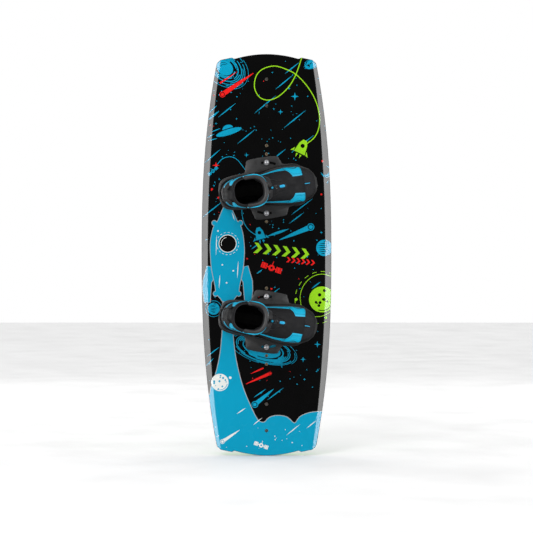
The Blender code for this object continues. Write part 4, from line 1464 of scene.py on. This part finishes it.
def build_liner():
    lines = [THROAT[1:-1]] + [beside(THROAT, -d) for d in (0.6, 1.4)]
    lines += rows_under(TOP_RIM, (0.4, 0.9, 1.6))
    sheet = half_sheet(LINER_SECTIONS, [], lines)
    piece = skin_piece("liner_sock", sheet, lambda p: not inside(THROAT, p), LINER_SECTIONS,
                       LINER_IN - LINER_OUT, [MATERIALS["mesh"]], (THROAT, TOP_RIM), rim_radius=1.6,
                       taper=liner_taper)
    pair(piece, "binding", ("liner",))


def build_footbed():
    """The insole: a thin sheet that follows the liner, a little dished under the heel."""
    outline = []
    for place in np.linspace(2.2, 10, 60):
        x, y, _ = skin_point(LINER_SECTIONS, place, 2.75, LINER_IN + 1.2 - 4.9 * (place < 4))
        outline.append((x, y - shifted(x)))
    outline = [(112, 22), *[(x, max(y, 6)) for x, y in outline if -118 < x < 112], (-119, 12)]
    sheet = cut_sheet(both_sides(outline), lines=[[(x, -60), (x, 60)] for x in range(-115, 130, 6)])

    def dish(x, v):
        return 1.2 * (v / 30) ** 2 + 0.6 * math.sin(max(0.0, -x) / 60)

    bed = slab("footbed_sheet", sheet, lambda x, v: (x, v + shifted(x), 30.2 + dish(x, v)),
               lambda x, v: (x, v + shifted(x), 27.6 + dish(x, v)), [MATERIALS["rubber"]])
    pair(bed, "binding", ("footbed",))


def sole_at(x):
    """Half width, bottom and top of the sole at a station."""
    stations = [s[0] for s in SOLE]
    return [float(np.interp(x, stations, [s[k] for s in SOLE])) for k in (1, 2, 3)]


def sole_rings():
    rings = []
    for x in (*np.linspace(-137, -124, 10), *np.linspace(-118, 128, 56), *np.linspace(132, 152, 14)):
        half, low, high = sole_at(x)
        rib = 0.5 * (abs(math.sin(x / 4.2)) > 0.4)
        profile = [(0.0, low), (half - 4, low), (half - 1.2, low + 0.8), (half, low + 3), (half, low + 5),
                   (half - rib, low + 6), (half - rib, high - 7), (half, high - 5.5), (half + 0.6, high - 3),
                   (half, high - 0.8), (half - 1.5, high), (half - 5, high), (0.0, high)]
        whole = profile + [(-v, w) for v, w in profile[-2:0:-1]]
        rings.append([(x, v + shifted(x), w) for v, w in whole])
    return rings


def foot_rings():
    """The upper's own outside, a little larger, as the space it takes in the sole."""
    angles = [2 * math.pi * (k + 0.5) / 40 for k in range(40)]
    return [[skin_point(LINER_SECTIONS, place, t, -0.5) for t in angles] for place in np.linspace(0, 13, 60)]


def cut_with(obj, cutter):
    """Cuts one mesh from another for good."""
    modifier = obj.modifiers.new("cut", "BOOLEAN")
    modifier.solver = "EXACT"
    modifier.object = cutter
    evaluated = obj.evaluated_get(bpy.context.evaluated_depsgraph_get())
    mesh = bpy.data.meshes.new_from_object(evaluated)
    obj.modifiers.clear()
    obj.data = mesh
    bpy.data.objects.remove(cutter)


def build_sole():
    sole = ringed("sole_cup", sole_rings(), "rubber")
    cut_with(sole, ringed("space", foot_rings(), "rubber"))
    sole.data.set_sharp_from_angle(angle=SHARP)
    pair(sole, "binding", ("sole",))


def wall_rings():
    """The base frame's wall round the sole, open at the toe."""
    path = [(x, sole_at(x)[0]) for x in np.linspace(104, -118, 48)]
    path += [(x, sole_at(x)[0]) for x in (-124, -130, -134, -137)]
    path = curve_through(both_sides(path, (-139.5, 0)), 2)
    rings = []
    for i, (x, v) in enumerate(path):
        a, b = path[max(0, i - 1)], path[min(len(path) - 1, i + 1)]
        way = Vector((b[1] - a[1], a[0] - b[0])).normalized()
        if way.dot(Vector((x * 0.2, v))) < 0:
            way = -way
        top = float(np.interp(x, *zip(*WALL_HEIGHTS)))
        rib = 0.5 * (abs(math.sin(x / 7.0)) > 0.93)
        profile = ((0.6, 8.2), (4.1 + rib, 8.2), (4.1 + rib, 11), (3.8 + rib, top * 0.5 + 5),
                   (3.2, top - 1.6), (2.5, top - 0.4), (1.6, top), (0.8, top - 0.4), (0.6, top - 1.6))
        rings.append([(x + way.x * n, v + way.y * n + shifted(x), w) for n, w in profile])
    return rings


def arc_slot(turn):
    """A slot round the turning axis, for one of the two mounting screws."""
    angles = np.radians(np.linspace(-3, 30, 12))
    outer, inner = ([(r * turn * math.sin(t), r * turn * math.cos(t)) for t in angles]
                    for r in (MOUNT_RADIUS + SLOT_HALF, MOUNT_RADIUS - SLOT_HALF))
    return outer + inner[::-1]


def build_frame():
    whole = both_sides(curve_through(FRAME_OUTLINE, 5))
    sheet = cut_sheet([(x, v + shifted(x)) for x, v in whole], [arc_slot(1), arc_slot(-1)])

    def rim(x, v, nx, nv):
        return [(x + nx * a, v + nv * a, z) for a, z in ((0.9, 7.6), (1.3, 6.7), (1.3, 1.2), (0.9, 0.5))]

    plate = slab("frame_plate", sheet, lambda x, v: (x, v, 8.0), lambda x, v: (x, v, 0.3),
                 [MATERIALS["nylon"]], rim)
    pair(plate, "binding", ("base_frame",))
    pair(ringed("frame_wall", wall_rings(), "nylon"), "binding", ())


def build_mount_screws():
    steel = finish_of("steel", (0.55, 0.55, 0.57), 0.28, metallic=1.0, grain=400)
    threads = [(2.6 if k % 2 else 2.3, -11 + 0.5 * k) for k in range(30)]
    stations = [(1.8, -12), *threads, (2.6, 5), (2.6, 8.6), (7.6, 8.6), (8.0, 8.9), (8.0, 9.8),
                (7.4, 10.6), (5.5, 10.6), (5.5, 12.4), (4.9, 13.2), (4.2, 13.6),
                *socket_head(13.6, 2.6, 2.2)]
    for prefix, side in (("left", 1), ("right", -1)):
        for label, v in (("inner", -MOUNT_RADIUS), ("outer", MOUNT_RADIUS)):
            screw = turned(f"{prefix}_{label}_mount_bolt", stations, steel)
            placed(screw, on_deck(side * BOOT_Y) @ Matrix.Translation((0, v, 0)))
            on_board(screw, f"{prefix}_{label}_mount_screw")


def build_heel_loop():
    """A webbing pull loop, sewn to the back of the cuff."""
    sewn = [skin_point(SECTIONS, 9.4, math.radians(a), -1.3) for a in (152, 156, 160)]
    path = [(x, v) for x, v, _ in sewn] + [(-124, 14.6), (-131, 13.6), (-136.5, 10.5), (-139.2, 5)]
    path = curve_through(both_sides(path), 3)
    rings = []
    for i, (x, v) in enumerate(path):
        a, b = path[max(0, i - 1)], path[min(len(path) - 1, i + 1)]
        way = Vector((a[1] - b[1], b[0] - a[0])).normalized() * 0.9
        section = [(1, w) for w in HEEL_LOOP_LEVELS] + [(-1, w) for w in HEEL_LOOP_LEVELS[::-1]]
        rings.append([(x + way.x * s, v + way.y * s, w) for s, w in section])
    loop = ringed("heel_pull", rings, "webbing")
    unwrap(loop, [(k % 10 * 5.0, k // 10 * 2.5) for k in range(len(rings) * 10)])
    pair(loop, "binding", ("heel_loop",))


# Lace, its loops, its lock and its pull

LOCK_CENTRE = (20.0, 207.0)
LOCK_PITCH = math.radians(26)
LOOP_ANGLE = math.radians(70)
LOOP_STAND = 2.5
LOOP_SPANS = ((9.35, 8.3), (7.95, 6.9))
LACE_RADIUS = 1.5
INSTEP_RADIUS = 1.1


def corner_section(place):
    """The CAD model's own section between two of SECTIONS, for pieces that must meet it."""
    i = min(int(place), len(SECTIONS) - 2)
    f = place - i
    (b0, f0, h0), (b1, f1, h1) = SECTIONS[i], SECTIONS[i + 1]
    ends = [tuple((1 - f) * m + f * n for m, n in zip(p, q)) for p, q in ((b0, b1), (f0, f1))]
    return (*ends, (1 - f) * h0 + f * h1)


def above_skin(place, angle, stand):
    """A point that stands off the CAD model's skin."""
    section = corner_section(place)
    return Vector(skin_point((section, section), 0, angle, -stand))


def and_back(knots):
    """Knots up to the boot's middle, and their mirror image on the way back."""
    return [*knots, *(Vector((k.x, -k.y, k.z)) for k in knots[-2::-1])]


def loop_ends(span):
    """The top and the bottom of a lace loop on the boot's left."""
    return [above_skin(place, LOOP_ANGLE, LOOP_STAND) for place in span]


def lock_point(along, across, up):
    c, s = math.cos(LOCK_PITCH), math.sin(LOCK_PITCH)
    return Vector((LOCK_CENTRE[0] + along * c - up * s, across, LOCK_CENTRE[1] + along * s + up * c))


def lock_matrix(along=0.0):
    return Matrix.Translation(lock_point(along, 0, 0)) @ Matrix.Rotation(-LOCK_PITCH, 4, "Y")


def lace_route():
    """The lace from its pull, round the four loops and back."""
    knots = [lock_point(x, 1.95, 0) for x in (22, 8, -4, -13)]
    for place, angle, stand in ((9.1, 18, 3.4), (9.2, 36, 3.4), (9.5, 51, 4.2), (9.85, 64, 4.4)):
        knots.append(above_skin(place, math.radians(angle), stand))
    for span in LOOP_SPANS:
        top, bottom = loop_ends(span)
        lead = (top - bottom).normalized() * 3
        knots += [top + lead, (top + bottom) / 2, bottom - lead]
    for place, angle, stand in ((6.4, 63, 4.2), (6.35, 50, 3.6), (6.5, 34, 3.4), (6.6, 17, 3.2),
                                (6.65, 0, 3.2)):
        knots.append(above_skin(place, math.radians(angle), stand))
    return curve_through(and_back(knots), 10)


def build_lace():
    route = lace_route()
    rings = tube_rings(route, LACE_RADIUS, 14)
    lace = ringed("lace_cord", rings, "lace")
    steps = [0.0]
    for a, b in zip(route, route[1:]):
        steps.append(steps[-1] + math.dist(a, b))
    unwrap(lace, [(k % 14 * 0.67 + steps[k // 14] * 0.5, steps[k // 14] - k % 14 * 0.67)
                  for k in range(len(rings) * 14)])
    pair(lace, "tongue", ("upper_lace",), bend=((-24, 0, 190), (2, 0, 190)))


def build_lower_lace():
    """The instep's lace, a thin free loop out of the vamp."""
    knots = [above_skin(2.6, math.radians(26), 2.1), above_skin(2.3, math.radians(22), 2.4)]
    knots += [Vector(k) for k in ((37, 15, 137), (48, 12, 149), (55, 7, 158), (57, 0, 160))]
    route = curve_through(and_back(knots), 8)
    lace = ringed("instep_cord", tube_rings(route, INSTEP_RADIUS, 12), "lace")
    unwrap(lace, [(k % 12 * 0.58 + k // 12 * 0.6, k // 12 * 1.2 - k % 12 * 0.58)
                  for k in range(len(route) * 12)])
    pair(lace, "binding", ("lower_lace",))


def build_eyelets():
    """Rings where the instep's lace leaves the vamp, and the toe cord's end."""
    parts = []
    for hand in (-1, 1):
        at = Vector(skin_point(SECTIONS, 2.62, hand * math.radians(27), 0.2))
        out = (Vector(skin_point(SECTIONS, 2.62, hand * math.radians(27), -2)) - at).normalized()
        ring = [at + out * h for h in (0, 0.5, 1.0)]
        parts.append((tube_rings(ring, lambda f: 3.2 - 0.9 * f, 16), 0))
    toe = [skin_point(LINER_SECTIONS, p, 0.0, -1.4) for p in (3.6, 3.9, 4.3, 4.7, 5.0)]
    parts.append((tube_rings(toe, 1.2, 10), 1))
    pair(merged("lace_eyelets", parts, [MATERIALS["lock"], MATERIALS["tip"]]), "binding", ())


def build_lace_loops():
    """Webbing loops on the quarter's front edge."""
    bow = np.linspace(-2.4, 2.4, 15)
    section = [(math.cos(t) * r, math.sin(t) * r) for r, way in ((4.0, 1), (3.0, -1)) for t in bow[::way]]
    parts = []
    for hand in (-1, 1):
        for span in LOOP_SPANS:
            top, bottom = loop_ends(span)
            top.y, bottom.y = hand * top.y, hand * bottom.y
            way = (bottom - top).normalized()
            side = way.cross(Vector((0, hand, 0))).normalized()
            out = side.cross(way).normalized()
            middles = [top.lerp(bottom, f) for f in (0.0, 0.5, 1.0)]
            parts.append(([[at - side * a + out * b for a, b in section] for at in middles], 0))
    loops = merged("lace_loops", parts, [MATERIALS["loop"]])
    loops.data.set_sharp_from_angle(angle=math.radians(50))
    pair(loops, "binding", ())


def squarish(x, half_width, half_height, power, count):
    """A ring across x: an ellipse with squared shoulders."""

    def squared(value):
        return math.copysign(abs(value) ** power, value)

    return [(x, half_width * squared(math.cos(t)), half_height * squared(math.sin(t)))
            for t in circle_angles(count)]


def build_lock():
    half = ((0, 0.97), (7.5, 1), (9.6, 0.96), (10.6, 0.86), (11, 0.72))
    stations = [(-x, share) for x, share in half[:0:-1]] + list(half)
    rings = [squarish(x, 6 * share, 5.5 * share, 0.55, 28) for x, share in stations]
    body = ringed("lock_body", rings, "lock")
    cut_with(body, ringed("passage", [squarish(x, 4.1, 2.0, 0.6, 24) for x in (-14, 14)], "lock"))
    cut_with(body, turned("pocket", ((3.3, 2.8), (3.3, 12)), MATERIALS["lock"], 24))
    body.data.set_sharp_from_angle(angle=SHARP)
    body.data.transform(lock_matrix())
    pair(body, "lock", ("lace_lock",))
    button = turned("lock_key", ((2.6, 4.8), (3.0, 5.1), (3.0, 7.2), (2.8, 7.6), (2.3, 7.8), (1.0, 7.6)),
                    MATERIALS["tip"])
    button.data.transform(lock_matrix())
    pair(button, "button", ("lock_button",))
    grips = [(4.1 if k % 2 else 3.6, 2.6 + 0.55 * k) for k in range(17)]
    stations = ((2.6, 0), (3.6, 0.4), (4.0, 1.4), *grips, (3.5, 13.2), (2.8, 14.6), (1.8, 15))
    pull = turned("lace_tip", stations, MATERIALS["tip"])
    pull.data.transform(lock_matrix(22.3) @ Matrix.Rotation(math.pi / 2, 4, "Y"))
    pair(pull, "tongue", ("lace_pull",))


def build_trim():
    """Stitching and piping on the upper."""
    seams = seam_lines()
    black, blue, cords = [], [], []
    for hand in (-1, 1):
        for line, offsets in ((seams["heel"], (2.6,)), (seams["vamp"], (-2.4, 2.4)),
                              (seams["cuff"], (2.2, -2.2, -4.4)), (THROAT[1:-2], (-2.8,))):
            for offset in offsets:
                path = [p for p in within(dense(beside(line, offset), 2)) if p[1] < 214
                        and not inside(THROAT, p)]
                black += [(r, 0) for r in stitches(path, 0.25, hand)]
        for shape, lift in ((CUFF_PANEL, 1.0), (ANKLE_BAND, 1.0), (VAMP_BAND, 1.0), (TOE_PANEL, 1.1)):
            path = within(dense(grown(shape, -2.4), 2, True), margin=0.01)
            blue += [(r, 1) for r in stitches(path, lift, hand, pitch=3.2, length=2.2)]
        for line in (seams["heel"], seams["vamp"]):
            path = [p for p in within(dense(line, 3)) if not inside(THROAT, p)]
            cords.append((tube_rings(side_line(path, 0.1, hand), 0.85, 8), 0))
        window = within(dense(CUFF_WINDOW, 3, True))
        cords.append((tube_rings(side_line([*window, window[0]], 0.9, hand), 0.6, 8), 0))
    threads = merged("stitching", black + blue, [MATERIALS["thread"], MATERIALS["cyan_thread"]])
    pair(threads, "binding", ())
    pair(merged("seam_piping", cords, [MATERIALS["piping"]]), "binding", ())


def build_boots():
    MATERIALS.update(boot_materials())
    for build in (build_upper, build_tongue, build_liner, build_footbed, build_sole, build_frame,
                  build_mount_screws, build_heel_loop, build_lace, build_lower_lace, build_eyelets,
                  build_lace_loops, build_lock, build_trim):
        build()


# Hardware


def placed(obj, matrix):
    """Moves an object's mesh, drawn in mm, by a placement in mm and on to metres."""
    obj.data.transform(Matrix.Scale(MM, 4) @ matrix)
    obj.data.update()
    return obj


def turned(name, stations, material, sides=32):
    """A piece turned on Z; stations are (radius, z). Stations that end where they start make a bore."""
    closed = stations[0] == stations[-1]
    angles = circle_angles(sides)
    used = stations[:-1] if closed else stations
    rings = [[(r * math.cos(t), r * math.sin(t), z) for t in angles] for r, z in used]
    return merged(name, [(rings, 0)], [material], closed)


def socket_head(top, radius, depth):
    """Stations of a driver socket sunk in a screw's head, from its rim to its floor."""
    return [(radius, top), (radius, top - depth), (radius * 0.35, top - depth - 0.3)]


def build_core(frame):
    """Gives the frame's foam core its material; the deck and the base hide it."""
    foam = grained("core_foam", (0.72, 0.6, 0.38), 0.85, scale=600, depth=0.6, vary=0.15)
    core = frame["nodes"]["foam_core"].data
    core.materials.clear()
    core.materials.append(foam)


def build_inserts():
    brass = finish_of("brass", (0.42, 0.33, 0.2), 0.34, metallic=1.0, grain=500)
    stations = [(3.0, -13.6), (4.2, -14.0), (4.2, -12), (4.5, -11.6), (4.2, -11.2), (4.2, -9.6),
                (4.5, -9.2), (4.2, -8.8), (4.2, -1.4), (4.5, -1.1), (4.5, -0.3), (4.25, -0.05),
                (3.45, -0.05), (3.0, -0.6)]
    for k in range(11):
        stations += [(3.0, -1.2 - k * 1.1), (3.15, -1.75 - k * 1.1)]
    for number, y in enumerate(insert_places(), 1):
        insert = turned(f"insert_ring_{number:02d}", [*stations, stations[0]], brass)
        on_board(placed(insert, on_deck(y)), f"insert_{number:02d}")


def build_fin_screws():
    steel = finish_of("dark_steel", (0.16, 0.15, 0.145), 0.34, metallic=1.0, grain=400)
    for side, sign in (("nose", 1), ("tail", -1)):
        for number, at in enumerate(FIN_SCREW_YS, 1):
            y = sign * at
            reach = deck_z(0, y) - base_z(0, y) + 11
            shank = [(1.9, -reach), (2.5, -reach + 0.8)]
            threads = [(2.5 if k % 2 else 2.2, -reach + 1.4 + 0.5 * k) for k in range(36)]
            head = [(2.5, -3.2), (2.5, -3.0), (4.9, -3.0), (5.0, -2.8), (5.0, -1.2), (4.4, -0.5)]
            stations = shank + threads + head + socket_head(-0.5, 2.4, 1.6)
            screw = turned(f"{side}_fin_bolt_{number}", stations, steel)
            on_board(placed(screw, on_deck(y)), f"{side}_fin_screw_{number}")


# Half of a fin's section, as shares of its half thickness and of its depth
FIN_PROFILE = ((1, 0), (0.94, 0.12), (0.8, 0.4), (0.62, 0.75), (0.5, 0.94), (0.3, 0.99), (0.1, 1.0))


def fin_depth(share):
    return FIN_DEPTH * math.sin(math.pi * share**1.25) ** 0.6 if 0 < share < 1 else 0.0


def build_fins():
    white = finish_of("fin_nylon", (0.78, 0.79, 0.79), 0.32, vary=0.04)
    for side, sign in (("nose", 1), ("tail", -1)):
        rings = []
        for share in np.sin(np.linspace(0, math.pi / 2, 30)) ** 2:
            y = sign * (FIN_SPAN[0] + share * (FIN_SPAN[1] - FIN_SPAN[0]))
            root = base_z(0, y) - GAP
            depth = max(3.0, fin_depth(float(share)))
            half = 4.5 * min(1.0, 0.35 + 4 * min(share, 1 - share))
            profile = [*FIN_PROFILE, *((-a, b) for a, b in FIN_PROFILE[::-1])]
            rings.append([(half * a, y, root - depth * b) for a, b in profile[::-sign]])
        fin = merged(f"{side}_fin_blade", [(rings, 0)], [white])
        on_board(placed(fin, BOARD), f"{side}_fin")


# Camera, light and floor


LENS = 134
CAMERA_AT = (0.0, -6.0, -0.035)
FLOOR_HALF = 14
LAMPS = (  # name, place, size, power, and whether it lights matt surfaces
    ("key", (-1.6, -3.6, 3.0), (1.2, 1.2), 50, True),
    ("left_strip", (-2.7, -3.0, 0.2), (0.8, 2.6), 130, False),
    ("right_strip", (2.7, -3.0, 0.2), (0.8, 2.6), 130, False),
    ("left_back", (-2.7, 3.0, 0.2), (0.25, 2.2), 34, True),
    ("right_back", (2.7, 3.0, 0.2), (0.25, 2.2), 34, True),
)


def build_camera():
    camera = linked("camera", bpy.data.cameras.new("camera"))
    camera.data.lens = LENS
    camera.data.clip_end = 60
    camera.location = CAMERA_AT
    camera.rotation_euler = (math.pi / 2, 0, 0)
    bpy.context.scene.camera = camera


def build_floor():
    mesh = bpy.data.meshes.new("floor")
    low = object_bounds()[0].z - 0.0005
    corners = ((-1, -1), (1, -1), (1, 1), (-1, 1))
    mesh.from_pydata([(x * FLOOR_HALF, y * FLOOR_HALF, low) for x, y in corners], [], [(0, 1, 2, 3)])
    mesh.materials.append(finish_of("floor", (0.93, 0.93, 0.93), 0.6, vary=0.01, grain=4, specular=0.1))
    floor = linked("floor", mesh)
    floor.visible_glossy = False


def build_light():
    """A white surround, weaker in reflections, and soft lamps on both sides."""
    surround = bpy.data.worlds.new("studio")
    surround.use_nodes = True
    background = surround.node_tree.nodes["Background"]
    background.inputs["Color"].default_value = (1, 1, 1, 1)
    rays = node(surround.node_tree, "ShaderNodeLightPath")
    spread(surround.node_tree, rays.outputs["Is Glossy Ray"], 1.0, 0.2, background.inputs["Strength"])
    bpy.context.scene.world = surround
    for name, at, size, power, lights_matt in LAMPS:
        lamp = bpy.data.lights.new(name, "AREA")
        lamp.shape = "RECTANGLE"
        lamp.size, lamp.size_y = size
        lamp.energy = power
        obj = linked(name, lamp)
        obj.visible_diffuse = lights_matt
        obj.location = at
        obj.rotation_euler = (-Vector(at)).to_track_quat("-Z", "Y").to_euler()


# The whole scene

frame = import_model()
build_core(frame)
build_deck()
build_base()
build_inserts()
build_fin_screws()
build_fins()
build_boots()
bpy.context.scene.view_settings.view_transform = "Standard"
build_camera()
build_floor()
build_light()
